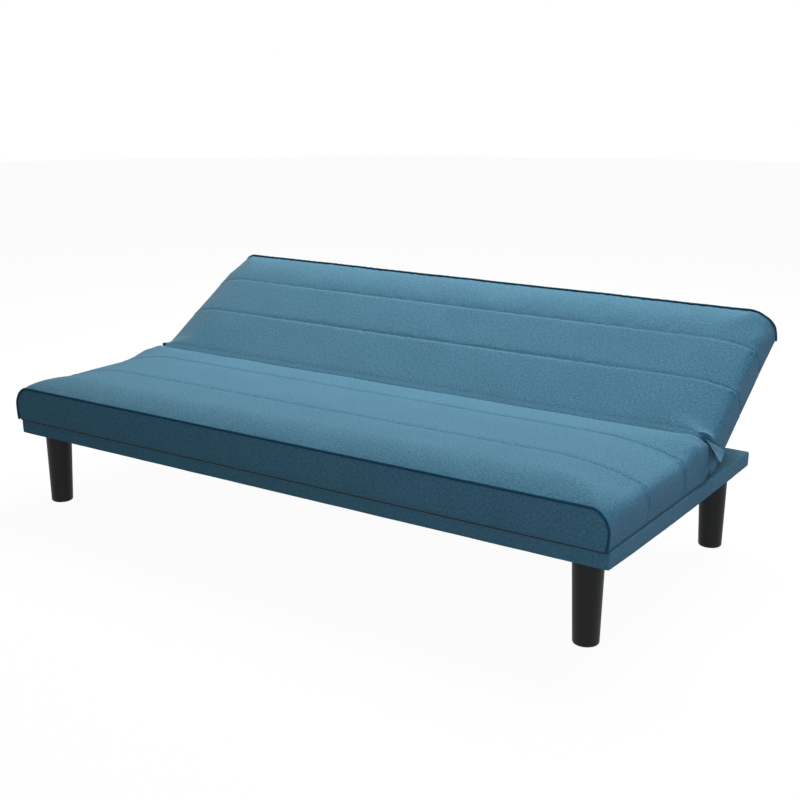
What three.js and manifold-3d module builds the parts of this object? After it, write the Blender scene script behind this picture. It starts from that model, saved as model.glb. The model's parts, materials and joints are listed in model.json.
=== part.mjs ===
// Click clack sofa bed: a wooden base on four tapered legs carries an upholstered seat and an upholstered
// back, joined at each end by a steel ratchet hinge. Millimetres, +X right, +Y rear, +Z up.
import * as THREE from "three";
import { mergeVertices } from "three/addons/utils/BufferGeometryUtils.js";
import Module from "manifold-3d";

const wasm = await Module();
wasm.setup();

// Overall sizes
const baseLength = 1674;
const baseDepth = 786;
const baseHeight = 36.2;
const legHeight = 188;
const seatDepthToPivot = 519;
const cushionThickness = 108;
const backLength = 434;

// Fits that every piece shares
const fitGap = 0.3;
const cutOverrun = 5;

// Angles of the ratchet: flat, lounge and upright lie one step apart, and the seat lifts by one step
const ratchetStep = THREE.MathUtils.degToRad(31.5);

// Fabric covers
const coverWall = 1.5;
const clothWall = 1.2;
const flangeWidth = 30;

// Cushions: how far they hang over the base, and the form of their faces and ends
const frontOverhang = 10;
const seatCrownRise = 20;
const backCrownRise = 16;
const crownWidth = 90;
const sideTuck = 6;
const panelBulge = 3;
const panelMargin = 14;
const cornerRadius = 12;
const lipRadius = 8;
const channelDepth = 3;
const channelHalfWidth = 9;
const pipingRadius = 3;

// Sewn channels, as distances from the free edge of each cushion
const seatChannels = [188, 385];
const backChannels = [126, 266];

// How far a cushion's face slopes down to its ends, and over what length: at its free edge, in its middle and
// beside the hinge
const seatEndFall = [27, 41, 5];
const seatEndSlope = [60, 230, 92];
const backEndFall = [24, 34, 3];
const backEndSlope = [60, 130, 78];
const freeSlopeWidth = 110;
const hingeSlopeWidth = 145;

// Timber frames
const cushionRailHeight = 40;
const cushionRailThickness = 20;
const seatEndRailThickness = 14.5;
const backEndRailThickness = 21;
const centreRailThickness = 30;
const baseRailThickness = 21;
const deckThickness = 4.2;
const legBlockSize = 76;

// Webbing stretched over each cushion frame
const webbingThickness = 2;
const strapWidth = 50;
const crossStrapCount = 9;
const longStrapCount = 4;

// Legs
const legTopRadius = 33.3;
const legBottomRadius = 27.8;
const legEdgeRadius = 4;
const frontLegInset = 72;
const rearLegInset = 58;
const legFromFront = 58;
const legFromRear = 77;
const legStudRadius = 4;
const legStudLength = 24;

// Ratchet hinge
const pivotBelowFace = 24;
const hingePlate = 3;
const pivotBoltRadius = 4;
const boltHeadRadius = 8;
const boltHeadLength = 4.5;
const nutLength = 6.2;
const nutSides = 6;
const armEyeRadius = 16;
const neckUpper = THREE.MathUtils.degToRad(40);
const neckLower = THREE.MathUtils.degToRad(252);
const armFootStart = 60;
const armFootLength = 76;
const armFootMargin = 7;
const armScrewRadius = 2.6;
const armScrewCount = 3;
const bracketEyeRadius = 15;
const hingeRoom = 7;
const bracketFootHalfLength = 52;
const sectorHubRadius = 14;
const sectorTipRadius = 35;
const toothDepth = 4.5;
const pawlClearance = 0.5;
const pawlClick = THREE.MathUtils.degToRad(11.2);
const pawlNoseWidth = 4.2;
const pawlArmHalfWidth = 5.5;
const pawlPinRadius = 3;
const pawlPinHeadRadius = 5;
const pawlPinHeadLength = 1.3;
const pawlPinFromPivot = 46;
const pawlTailLength = 15;
const springWireRadius = 0.5;
const springCoilRadius = 2;
const springTurns = 8;
const springAnchorGap = 21;

// Notch between seat and back, and the cloth that closes it
const backStart = 7;
const seatTongue = 5;
const notchRadius = 27.5;
const gapClothRadius = 23;
const hemDepth = 10;
const hingePocketClearance = 0.6;

// Heights and lengths that follow from the sizes above
const baseBottom = legHeight + fitGap;
const baseTop = baseBottom + baseHeight;
const faceHeight = pivotBelowFace;
const undersideHeight = faceHeight - cushionThickness;
const pivotHeight = baseTop + fitGap - undersideHeight;
const cushionHalfLength = baseLength / 2;
const skin = coverWall + fitGap;
const frameBottom = undersideHeight + skin;
const frameTop = frameBottom + cushionRailHeight;
const foamBottom = frameTop + webbingThickness + 2 * fitGap;
const junctionOffset = faceHeight * Math.tan(ratchetStep / 2);
const seatFront = -(seatDepthToPivot + frontOverhang);
const backEnd = junctionOffset + backLength;
const frameSetback = -(bracketEyeRadius + hingeRoom);
const centreRail = [-centreRailThickness / 2, centreRailThickness / 2];

// Planes of the hinge, counted inwards from the end rail of the base
const baseRailInner = baseLength / 2 - skin - baseRailThickness;
const hingePlane = (index) => baseRailInner - fitGap - index * (hingePlate + fitGap);
const bracketPlane = hingePlane(0);
const seatArmPlane = hingePlane(1);
const sectorPlane = hingePlane(2);
const backArmPlane = hingePlane(3);

// Materials
function finish(colour, roughness, metalness = 0) {
  return new THREE.MeshStandardMaterial({ color: colour, roughness, metalness });
}
const wovenCover = finish(0x4a7d98, 0.9);
const pipingCord = finish(0x1f4a63, 0.85);
const dustCloth = finish(0x1c1d20, 0.95);
const polyurethaneFoam = finish(0xe9dfb8, 0.95);
const pine = finish(0xd8b988, 0.7);
const hardboard = finish(0x8a6240, 0.8);
const beltWebbing = finish(0x3a3a3c, 0.9);
const blackPlastic = finish(0x17171a, 0.5);
const zincSteel = finish(0xa9adb0, 0.4, 1);
const blackSteel = finish(0x2b2d30, 0.45, 1);
const springSteel = finish(0x8d9093, 0.3, 1);

// Solids that are cut, joined or kept inside one another
function solidOf(geometry) {
  const bare = geometry.clone();
  bare.deleteAttribute("normal");
  bare.deleteAttribute("uv");
  const merged = mergeVertices(bare, 1e-4);
  return new wasm.Manifold(
    new wasm.Mesh({
      numProp: 3,
      vertProperties: new Float32Array(merged.attributes.position.array),
      triVerts: new Uint32Array(merged.index.array),
    }),
  );
}

function geometryOf(solid) {
  const mesh = solid.getMesh();
  const indexed = new THREE.BufferGeometry();
  indexed.setAttribute("position", new THREE.BufferAttribute(mesh.vertProperties, 3));
  indexed.setIndex(new THREE.BufferAttribute(mesh.triVerts, 1));
  const flat = indexed.toNonIndexed();
  flat.computeVertexNormals();
  return flat;
}

function cut(geometry, ...tools) {
  return geometryOf(tools.reduce((solid, tool) => solid.subtract(solidOf(tool)), solidOf(geometry)));
}

function join(geometry, ...others) {
  return geometryOf(others.reduce((solid, other) => solid.add(solidOf(other)), solidOf(geometry)));
}

function keepInside(geometry, region) {
  return geometryOf(solidOf(geometry).intersect(solidOf(region)));
}

// A box between two limits on each axis
function box([lowX, highX], [lowY, highY], [lowZ, highZ]) {
  const shape = new THREE.BoxGeometry(highX - lowX, highY - lowY, highZ - lowZ);
  return shape.translate((lowX + highX) / 2, (lowY + highY) / 2, (lowZ + highZ) / 2);
}

// The same box at both ends of the sofa
function boxAtBothEnds([lowX, highX], rangeY, rangeZ) {
  return join(box([lowX, highX], rangeY, rangeZ), box([-highX, -lowX], rangeY, rangeZ));
}

// A plate drawn in the Y-Z plane, from x = start and as thick as given
function plate(outline, start, thickness, curveSegments = 10) {
  const shape = new THREE.ExtrudeGeometry(outline, { depth: thickness, bevelEnabled: false, curveSegments });
  const sideways = new THREE.Matrix4().makeBasis(
    new THREE.Vector3(0, 1, 0),
    new THREE.Vector3(0, 0, 1),
    new THREE.Vector3(1, 0, 0),
  );
  return shape.applyMatrix4(sideways).translate(start, 0, 0);
}

// A turned piece whose axis lies along X, from pairs of position along X and radius
function turnedAlongX(profile, segments = 16) {
  const points = profile.map(([x, radius]) => new THREE.Vector2(radius, x));
  return new THREE.LatheGeometry(points, segments).rotateZ(-Math.PI / 2);
}

function roundHole(y, z, radius) {
  const hole = new THREE.Path();
  hole.absarc(y, z, radius, 0, 2 * Math.PI, true);
  return hole;
}

// A closed skin over rings that all have the same number of points, each ring lying across Y
function loft(rings) {
  const count = rings[0].length;
  const positions = rings.flat().flatMap((point) => [point.x, point.y, point.z]);
  const index = [];
  for (let ring = 0; ring + 1 < rings.length; ring += 1) {
    for (let i = 0; i < count; i += 1) {
      const a = ring * count + i;
      const b = ring * count + ((i + 1) % count);
      index.push(a, a + count, b + count, a, b + count, b);
    }
  }
  const capOf = (ring) => {
    const contour = ring.map((point) => new THREE.Vector2(point.x, point.z));
    return THREE.ShapeUtils.triangulateShape(contour, []);
  };
  const last = (rings.length - 1) * count;
  capOf(rings[0]).forEach(([a, b, c]) => index.push(a, b, c));
  capOf(rings[rings.length - 1]).forEach(([a, b, c]) => index.push(last + a, last + c, last + b));
  const surface = new THREE.BufferGeometry();
  surface.setAttribute("position", new THREE.Float32BufferAttribute(positions, 3));
  surface.setIndex(index);
  surface.computeVertexNormals();
  return surface;
}

// Shares of a cushion's end wall and of its sloping face where the section has a point
const sideShares = [0, 0.25, 0.6, 1];
const slopeShares = [0.28, 0.5, 0.75, 1];
const cornerSteps = 3;

// One section of a cushion, across Y: its end swells from the tucked foot and turns over a rounded edge, from
// where the face rises by the rest of its fall over the slope's length
function cushionRing({ y, top, bottom, half, fall, slope }) {
  const sideTop = top - fall - cornerRadius;
  const risen = (distance) => fall * (1 - (1 - distance / slope) ** 2);
  const points = [];
  for (const share of sideShares) {
    points.push([half - sideTuck * (1 - share) ** 2, bottom + share * (sideTop - bottom)]);
  }
  for (let step = 1; step <= cornerSteps; step += 1) {
    const angle = (step / cornerSteps) * (Math.PI / 2);
    const distance = cornerRadius * (1 - Math.cos(angle));
    points.push([half - distance, sideTop + cornerRadius * Math.sin(angle) + risen(distance)]);
  }
  for (const share of slopeShares) {
    const distance = share * slope;
    points.push([half - distance, top - fall + risen(distance)]);
  }
  const mirrored = points.map(([x, z]) => [-x, z]).reverse();
  return [...points, [0, top], ...mirrored].map(([x, z]) => new THREE.Vector3(x, y, z));
}

// The slope of a cushion's face to its ends at a distance from its free edge, from its values at the free
// edge, in its middle and beside the hinge
function slopeAt(distance, length, [freeFall, middleFall, hingeFall], [freeSlope, middleSlope, hingeSlope]) {
  const fromFree = THREE.MathUtils.smoothstep(distance, 0, freeSlopeWidth);
  const toHinge = THREE.MathUtils.smoothstep(distance, length - hingeSlopeWidth, length);
  const between = (free, middle, hinge) => {
    return THREE.MathUtils.lerp(THREE.MathUtils.lerp(free, middle, fromFree), hinge, toHinge);
  };
  return {
    fall: between(freeFall, middleFall, hingeFall),
    slope: between(freeSlope, middleSlope, hingeSlope),
  };
}

function seatSlopeAt(distance) {
  return slopeAt(distance, -seatFront, seatEndFall, seatEndSlope);
}

function backSlopeAt(distance) {
  return slopeAt(distance, backEnd - backStart, backEndFall, backEndSlope);
}

// Shares of the crown's width where the face of a cushion has a section
const crownShares = [0, 0.12, 0.3, 0.55, 1];

// The free half of a cushion, from its bulging end panel over the crown to the last sewn channel.
// Distances count from the free edge, and inset moves every face inwards.
function freeEndStations(crownRise, channels, slopeOf, inset) {
  const crowned = (distance) => (1 - Math.min(distance / crownWidth, 1)) ** 2;
  const station = (distance, groove = 0) => ({
    distance: Math.max(distance, inset),
    top: faceHeight - inset - crownRise * crowned(distance) - groove,
    bottom: undersideHeight + inset,
    half: cushionHalfLength - inset - groove,
    ...slopeOf(distance),
  });
  const edge = station(0);
  const panel = {
    ...edge,
    distance: inset - panelBulge,
    top: edge.top - panelMargin,
    bottom: edge.bottom + panelMargin,
    half: edge.half - panelMargin,
  };
  const crown = crownShares.map((share) => station(share * crownWidth));
  const grooves = channels.flatMap((place) => [
    station(place - channelHalfWidth),
    station(place, channelDepth),
    station(place + channelHalfWidth),
  ]);
  return [panel, ...crown, ...grooves];
}

// Shares of the half circle where the notch that clears the back's lower edge has a section
const notchShares = [0, 0.12, 0.26, 0.4, 0.5];

// The seat: crowned from the front, rounded over at its rear lip, and hollowed round the hinge axis
function seatBody(inset) {
  const front = freeEndStations(seatCrownRise, seatChannels, seatSlopeAt, inset).map((station) => ({
    ...station,
    y: seatFront + station.distance,
  }));
  const bottom = undersideHeight + inset;
  const half = cushionHalfLength - inset;
  const hollow = notchRadius + inset;
  const face = faceHeight - inset;
  const lipSlope = seatSlopeAt(-seatFront);
  const lipStations = [0, Math.PI / 4, Math.PI / 2].map((angle) => ({
    y: -hollow - lipRadius * (1 - Math.sin(angle)),
    top: face - lipRadius * (1 - Math.cos(angle)),
    bottom,
    half,
    ...lipSlope,
  }));
  const notch = notchShares.map((share) => ({
    y: -hollow * Math.cos(share * Math.PI),
    top: -hollow * Math.sin(share * Math.PI),
    bottom,
    half,
    ...lipSlope,
  }));
  const tongue = { y: seatTongue - inset, top: -hollow, bottom, half, ...lipSlope };
  return loft([...front, ...lipStations, ...notch, tongue].map(cushionRing));
}

// Shares of the edge radius by which the back's lower end draws in at its first sections
const edgeRoundShares = [0.8, 0.25, 0];

// The back, lying along +Y from the hinge axis, with its face upwards
function backBody(inset) {
  const bottomEnd = edgeRoundShares.map((share, index) => ({
    y: backStart + inset + (index * lipRadius) / 2,
    top: faceHeight - inset - share * lipRadius,
    bottom: undersideHeight + inset + share * lipRadius,
    half: cushionHalfLength - inset - share * lipRadius,
    ...backSlopeAt(backEnd - backStart),
  }));
  const besideHinge = {
    y: sectorTipRadius + lipRadius,
    top: faceHeight - inset,
    bottom: undersideHeight + inset,
    half: cushionHalfLength - inset,
    ...backSlopeAt(backEnd - backStart),
  };
  const free = freeEndStations(backCrownRise, backChannels, backSlopeAt, inset).map((station) => ({
    ...station,
    y: backEnd - station.distance,
  }));
  return loft([...bottomEnd, besideHinge, ...free.reverse()].map(cushionRing));
}

// Room for the hinge in the seat: the stamped arm and the bracket stand in a slot at each end
function seatHingeSlots() {
  const slot = [seatArmPlane - hingePlate - hingePocketClearance, bracketPlane + hingePocketClearance];
  return [
    boxAtBothEnds(slot, [frameSetback, seatTongue + cutOverrun], [undersideHeight - cutOverrun, 0]),
    boxAtBothEnds(slot, [-armFootStart - armEyeRadius, frameSetback + fitGap], [frameTop, 0]),
  ];
}

// Room for the hinge in the back: a pocket for arm and pawl, a round one for the ratchet, and a slot for the
// bracket
function backHingePockets() {
  const pocketInner = backArmPlane - hingePlate - pawlPinHeadLength - fitGap - hingePocketClearance;
  const pocket = [pocketInner, bracketPlane + hingePocketClearance];
  const boltRoom = [
    backArmPlane - hingePlate - nutLength - 2 * fitGap - hingePocketClearance,
    bracketPlane + boltHeadLength + fitGap + hingePocketClearance,
  ];
  const pocketTop = faceHeight - skin - hingePlate / 2;
  const pocketLength = armFootStart + armEyeRadius;
  const start = backStart - cutOverrun;
  const ratchetRadius = sectorTipRadius + 2 * hingePocketClearance;
  const disc = turnedAlongX([
    [-pocket[1], 0],
    [-pocket[1], ratchetRadius],
    [pocket[1], ratchetRadius],
    [pocket[1], 0],
  ]);
  return [
    boxAtBothEnds(pocket, [start, pocketLength], [frameTop, 0]),
    boxAtBothEnds(pocket, [start, -frameSetback], [undersideHeight - cutOverrun, pocketTop]),
    keepInside(disc, boxAtBothEnds(pocket, [start, ratchetRadius], [-ratchetRadius, pocketTop])),
    boxAtBothEnds(boltRoom, [start, boltHeadRadius + cutOverrun], [-boltHeadRadius - cutOverrun, pocketTop]),
  ];
}

// A fabric cover: a thin shell round a cushion, turned in under it as a flange
function cushionCover(body, [low, high], pockets) {
  const opening = box(
    [flangeWidth - cushionHalfLength + sideTuck, cushionHalfLength - sideTuck - flangeWidth],
    [low + flangeWidth, high - flangeWidth],
    [undersideHeight - cutOverrun, undersideHeight + cutOverrun],
  );
  return cut(body(0), body(coverWall), opening, ...pockets);
}

// The foam: a crowned slab over the webbing, with a bead that fills the cover beyond the hinge-side rail
function cushionFoam(body, beadRange, pockets) {
  const reach = 2 * cushionHalfLength;
  const slab = box([-reach, reach], [-reach, reach], [foamBottom, reach]);
  const bead = box([-reach, reach], beadRange, [frameBottom, foamBottom + cutOverrun]);
  return cut(keepInside(body(skin), join(slab, bead)), ...pockets);
}

// Places of a number of straps spread evenly from edge to edge of a frame
function strapPlaces([low, high], count) {
  const step = (high - low - strapWidth) / (count - 1);
  return Array.from({ length: count }, (_, index) => low + index * step);
}

// Belt webbing as one flat lattice of crossing straps, with room for the hinge at its corners
function webbing(rangeX, rangeY, bottom, pockets) {
  const heights = [bottom, bottom + webbingThickness];
  const crossing = strapPlaces(rangeX, crossStrapCount).map((x) => box([x, x + strapWidth], rangeY, heights));
  const along = strapPlaces(rangeY, longStrapCount).map((y) => box(rangeX, [y, y + strapWidth], heights));
  return cut(join(...crossing, ...along), ...pockets);
}

// A path through points in order, one step from each to the next
class OutlinePath extends THREE.Curve {
  constructor(points) {
    super();
    this.points = points;
  }

  getPoint(t, target = new THREE.Vector3()) {
    const place = t * (this.points.length - 1);
    const before = Math.min(Math.floor(place), this.points.length - 2);
    return target.copy(this.points[before]).lerp(this.points[before + 1], place - before);
  }

  getUtoTmapping(u) {
    return u;
  }
}

// The piping: a corded seam up one end, over the face and down the other end of the free edge
function piping(crownRise, slopeOf, edge, outwards) {
  const stand = (pipingRadius + fitGap) * Math.SQRT1_2;
  const ring = cushionRing({
    y: edge + outwards * stand,
    top: faceHeight - crownRise + stand,
    bottom: undersideHeight,
    half: cushionHalfLength + stand,
    ...slopeOf(0),
  });
  const section = new THREE.Shape();
  section.absarc(0, 0, pipingRadius, 0, 2 * Math.PI, false);
  return new THREE.ExtrudeGeometry(section, {
    steps: ring.length - 1,
    curveSegments: 4,
    bevelEnabled: false,
    extrudePath: new OutlinePath(ring),
  });
}

// The four rails and the centre rail of a cushion frame, named after the cushion
function cushionFrame(name, [low, high], endRailInner, endRailThickness) {
  const heights = [frameBottom, frameTop];
  const across = [fitGap - endRailInner, endRailInner - fitGap];
  const endRail = [endRailInner, endRailInner + endRailThickness];
  const inner = [low + cushionRailThickness + fitGap, high - cushionRailThickness - fitGap];
  const nearName = name === "seat" ? "front" : "lower";
  const farName = name === "seat" ? "rear" : "top";
  return [
    piece(`${name}_rail_${nearName}`, box(across, [low, low + cushionRailThickness], heights), pine),
    piece(`${name}_rail_${farName}`, box(across, [high - cushionRailThickness, high], heights), pine),
    piece(`${name}_rail_right`, box(endRail, [low, high], heights), pine),
    piece(`${name}_rail_left`, box([-endRail[1], -endRail[0]], [low, high], heights), pine),
    piece(`${name}_rail_centre`, box(centreRail, inner, heights), pine),
  ];
}

// Where the neck of an arm ends over its foot, as a share of the eye's radius, and the first screw's place
const neckShare = 0.75;
const firstScrewShare = 0.5;

// The stamped arm of the hinge: an eye round the axis, a neck and a screwed foot along +Y
function armOutline() {
  const footTop = frameTop - armFootMargin;
  const footBottom = frameBottom + armFootMargin;
  const footEnd = armFootStart + armFootLength;
  const outline = new THREE.Shape();
  outline.moveTo(footEnd, footBottom + armFootMargin);
  outline.lineTo(footEnd, footTop - armFootMargin);
  outline.quadraticCurveTo(footEnd, footTop, footEnd - armFootMargin, footTop);
  outline.lineTo(armFootStart + neckShare * armEyeRadius, footTop);
  outline.lineTo(armEyeRadius * Math.cos(neckUpper), armEyeRadius * Math.sin(neckUpper));
  outline.absarc(0, 0, armEyeRadius, neckUpper, neckLower, false);
  outline.lineTo(armFootStart, footTop);
  outline.lineTo(armFootStart, footBottom);
  outline.lineTo(footEnd - armFootMargin, footBottom);
  outline.quadraticCurveTo(footEnd, footBottom, footEnd, footBottom + armFootMargin);
  outline.holes.push(roundHole(0, 0, pivotBoltRadius + fitGap));
  for (let screw = 0; screw < armScrewCount; screw += 1) {
    const share = (screw + firstScrewShare) / armScrewCount;
    const middle = (footTop + footBottom) / 2;
    outline.holes.push(roundHole(armFootStart + share * armFootLength, middle, armScrewRadius));
  }
  return outline;
}

// Places in the back's own frame: the nose in its notch, the pawl's pin, and the anchor of its spring
const noseStepShare = 1.5;
const noseAngle = -noseStepShare * ratchetStep;
const hingeAxis = new THREE.Vector2(0, 0);
const pawlPin = new THREE.Vector2(pawlPinFromPivot, 0).rotateAround(hingeAxis, noseAngle + ratchetStep);
const springAnchor = new THREE.Vector2(pawlPin.x + pawlTailLength, pawlPin.y - springAnchorGap);

function backArm() {
  const start = backArmPlane - hingePlate;
  const eye = new THREE.Shape();
  eye.absarc(pawlPin.x, pawlPin.y, pawlPinHeadRadius + hingePlate, 0, 2 * Math.PI, false);
  const lug = new THREE.Shape();
  lug.moveTo(pawlPin.x, pawlPin.y);
  lug.lineTo(pawlPin.x + pawlPinHeadRadius + hingePlate, pawlPin.y);
  lug.lineTo(springAnchor.x + pawlPinHeadRadius, springAnchor.y + pawlPinHeadRadius);
  lug.lineTo(springAnchor.x + pawlPinHeadRadius, springAnchor.y - pawlPinHeadRadius);
  lug.lineTo(pawlPin.x - pawlPinHeadRadius, springAnchor.y);
  lug.closePath();
  const hook = turnedAlongX(
    [
      [start + hingePlate / 2, 0],
      [start + hingePlate / 2, springCoilRadius],
      [start + 2 * hingePlate, springCoilRadius],
      [start + 2 * hingePlate, 0],
    ],
    8,
  ).translate(0, springAnchor.x, springAnchor.y);
  const pinHole = turnedAlongX([
    [start - cutOverrun, 0],
    [start - cutOverrun, pawlPinRadius + fitGap],
    [start + hingePlate + cutOverrun, pawlPinRadius + fitGap],
    [start + hingePlate + cutOverrun, 0],
  ]).translate(0, pawlPin.x, pawlPin.y);
  const arm = plate(armOutline(), start, hingePlate);
  return cut(join(arm, plate(eye, start, hingePlate), plate(lug, start, hingePlate), hook), pinHole);
}

// Places round each notch as shares of the ratchet's step: steep face, floor's end, ramp's end, crest's end
const steepShare = -0.2;
const floorShare = 0.1;
const rampShare = 0.5;
const crestShare = 0.55;
const notchCount = 3;

// The ratchet: a toothed sector riveted to the seat's arm. Each notch has a steep face that holds the
// back up and a long ramp that the pawl climbs as the back is raised.
function sectorOutline() {
  const rim = [];
  const root = sectorTipRadius - toothDepth;
  rim.push([noseAngle - ratchetStep / 2, sectorTipRadius]);
  for (let notch = 0; notch < notchCount; notch += 1) {
    const centre = noseAngle + notch * ratchetStep;
    rim.push([centre + steepShare * ratchetStep, sectorTipRadius]);
    rim.push([centre + steepShare * ratchetStep, root]);
    rim.push([centre, root]);
    rim.push([centre + floorShare * ratchetStep, root]);
    rim.push([centre + rampShare * ratchetStep, sectorTipRadius]);
    rim.push([centre + crestShare * ratchetStep, sectorTipRadius]);
  }
  const outline = new THREE.Shape();
  rim.forEach(([angle, radius], index) => {
    const point = [radius * Math.cos(angle), radius * Math.sin(angle)];
    if (index === 0) {
      outline.moveTo(...point);
    } else {
      outline.lineTo(...point);
    }
  });
  const end = rim[rim.length - 1][0];
  outline.absarc(0, 0, sectorHubRadius, end + ratchetStep, rim[0][0] - ratchetStep / 2, false);
  outline.holes.push(roundHole(0, 0, pivotBoltRadius + fitGap));
  return outline;
}

// How much of the nose's width lies ahead of its notch's middle line at the tip and at the root
const noseTipShare = 0.35;
const noseRootShare = 0.9;

// The pawl: a nose, an arm round its pin, and a tail for the spring. It is drawn with its nose in a notch
// and then turned about its pin until it is clear of the teeth.
function pawlOutline() {
  const tip = sectorTipRadius - toothDepth + pawlClearance;
  const polar = (radius, shift) => new THREE.Vector2(radius, 0).rotateAround(hingeAxis, noseAngle + shift);
  const lean = pawlNoseWidth / tip;
  const points = [
    polar(tip, lean * noseTipShare),
    polar(tip, lean * (noseTipShare - 1)),
    polar(tip + toothDepth + 2 * pawlArmHalfWidth, lean * (noseTipShare - 1)),
    new THREE.Vector2(pawlPin.x, pawlPin.y - pawlArmHalfWidth - hingePlate / 2),
    new THREE.Vector2(pawlPin.x + pawlTailLength, pawlPin.y),
    new THREE.Vector2(pawlPin.x + pawlTailLength, pawlPin.y + pawlArmHalfWidth),
    new THREE.Vector2(pawlPin.x, pawlPin.y + pawlArmHalfWidth + hingePlate / 2),
    polar(tip + toothDepth + pawlArmHalfWidth, lean * noseRootShare),
  ].map((point) => point.rotateAround(pawlPin, pawlClick));
  const outline = new THREE.Shape(points);
  outline.holes.push(roundHole(pawlPin.x, pawlPin.y, pawlPinRadius + fitGap));
  return outline;
}

// A helix that hangs from its top end along -Z
class CoilPath extends THREE.Curve {
  constructor(length) {
    super();
    this.length = length;
  }

  getPoint(t, target = new THREE.Vector3()) {
    const angle = t * springTurns * 2 * Math.PI;
    const [across, along] = [springCoilRadius * Math.cos(angle), springCoilRadius * Math.sin(angle)];
    return target.set(across, along, -t * this.length);
  }
}

function pawlSpring(length) {
  const wire = new THREE.Shape();
  wire.absarc(0, 0, springWireRadius, 0, 2 * Math.PI, false);
  return new THREE.ExtrudeGeometry(wire, {
    steps: springTurns * 8,
    curveSegments: 2,
    bevelEnabled: false,
    extrudePath: new CoilPath(length),
  });
}

// Share of the bracket's half foot at which its outer screws sit
const bracketScrewShare = 0.75;

// The bracket: screwed to the end rail of the base, with an ear that rises to the hinge axis
function bracketOutline() {
  const footTop = baseTop - skin - deckThickness - armFootMargin / 2 - pivotHeight;
  const footBottom = baseBottom + skin + armFootMargin / 2 - pivotHeight;
  const outline = new THREE.Shape();
  outline.moveTo(bracketFootHalfLength, footBottom);
  outline.lineTo(bracketFootHalfLength, footTop);
  outline.lineTo(bracketEyeRadius, footTop);
  outline.absarc(0, 0, bracketEyeRadius, 0, Math.PI, false);
  outline.lineTo(-bracketEyeRadius, footTop);
  outline.lineTo(-bracketFootHalfLength, footTop);
  outline.lineTo(-bracketFootHalfLength, footBottom);
  outline.closePath();
  outline.holes.push(roundHole(0, 0, pivotBoltRadius + fitGap));
  const middle = (footTop + footBottom) / 2;
  for (const side of [-1, 0, 1]) {
    outline.holes.push(roundHole(side * bracketScrewShare * bracketFootHalfLength, middle, armScrewRadius));
  }
  return outline;
}

// The bolt's head: shares of its height that stand straight and of its radius that stay flat on top
const headSideShare = 0.7;
const headTopShare = 0.6;

function pivotBolt() {
  const head = bracketPlane + fitGap;
  const tip = backArmPlane - hingePlate - nutLength - 2 * fitGap;
  return turnedAlongX([
    [tip, 0],
    [tip, pivotBoltRadius],
    [head, pivotBoltRadius],
    [head, boltHeadRadius],
    [head + boltHeadLength * headSideShare, boltHeadRadius],
    [head + boltHeadLength, boltHeadRadius * headTopShare],
    [head + boltHeadLength, 0],
  ]);
}

function pivotNut() {
  const outline = new THREE.Shape();
  for (let corner = 0; corner < nutSides; corner += 1) {
    const angle = (corner * 2 * Math.PI) / nutSides;
    const point = [boltHeadRadius * Math.cos(angle), boltHeadRadius * Math.sin(angle)];
    if (corner === 0) {
      outline.moveTo(...point);
    } else {
      outline.lineTo(...point);
    }
  }
  outline.closePath();
  outline.holes.push(roundHole(0, 0, pivotBoltRadius + fitGap));
  return plate(outline, backArmPlane - hingePlate - fitGap - nutLength, nutLength);
}

function pawlRivet() {
  const outer = sectorPlane + fitGap;
  const inner = backArmPlane - hingePlate - fitGap;
  return turnedAlongX(
    [
      [inner - pawlPinHeadLength, 0],
      [inner - pawlPinHeadLength, pawlPinHeadRadius],
      [inner, pawlPinHeadRadius],
      [inner, pawlPinRadius],
      [outer, pawlPinRadius],
      [outer, pawlPinHeadRadius],
      [outer + pawlPinHeadLength, pawlPinHeadRadius],
      [outer + pawlPinHeadLength, 0],
    ],
    12,
  ).translate(0, pawlPin.x, pawlPin.y);
}

// A tapered leg with a rounded foot, and the threaded stud moulded into its top
function leg() {
  const edge = [0, 1, 2].map((step) => {
    const angle = (step / 2) * (Math.PI / 2);
    const radius = legBottomRadius - legEdgeRadius * (1 - Math.sin(angle));
    return new THREE.Vector2(radius, legEdgeRadius * (1 - Math.cos(angle)));
  });
  const profile = [
    new THREE.Vector2(0, 0),
    ...edge,
    new THREE.Vector2(legTopRadius, legHeight),
    new THREE.Vector2(legStudRadius, legHeight),
    new THREE.Vector2(legStudRadius, legHeight + legStudLength),
    new THREE.Vector2(0, legHeight + legStudLength),
  ];
  return new THREE.LatheGeometry(profile, 28).rotateX(Math.PI / 2);
}

function piece(name, geometry, material) {
  const mesh = new THREE.Mesh(geometry, material);
  mesh.name = name;
  return mesh;
}

// Places of the four legs: name, x and y
function legPlaces() {
  const frontX = baseLength / 2 - frontLegInset;
  const rearX = baseLength / 2 - rearLegInset;
  return [
    ["front_left", -frontX, legFromFront],
    ["front_right", frontX, legFromFront],
    ["rear_left", -rearX, baseDepth - legFromRear],
    ["rear_right", rearX, baseDepth - legFromRear],
  ];
}

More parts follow.
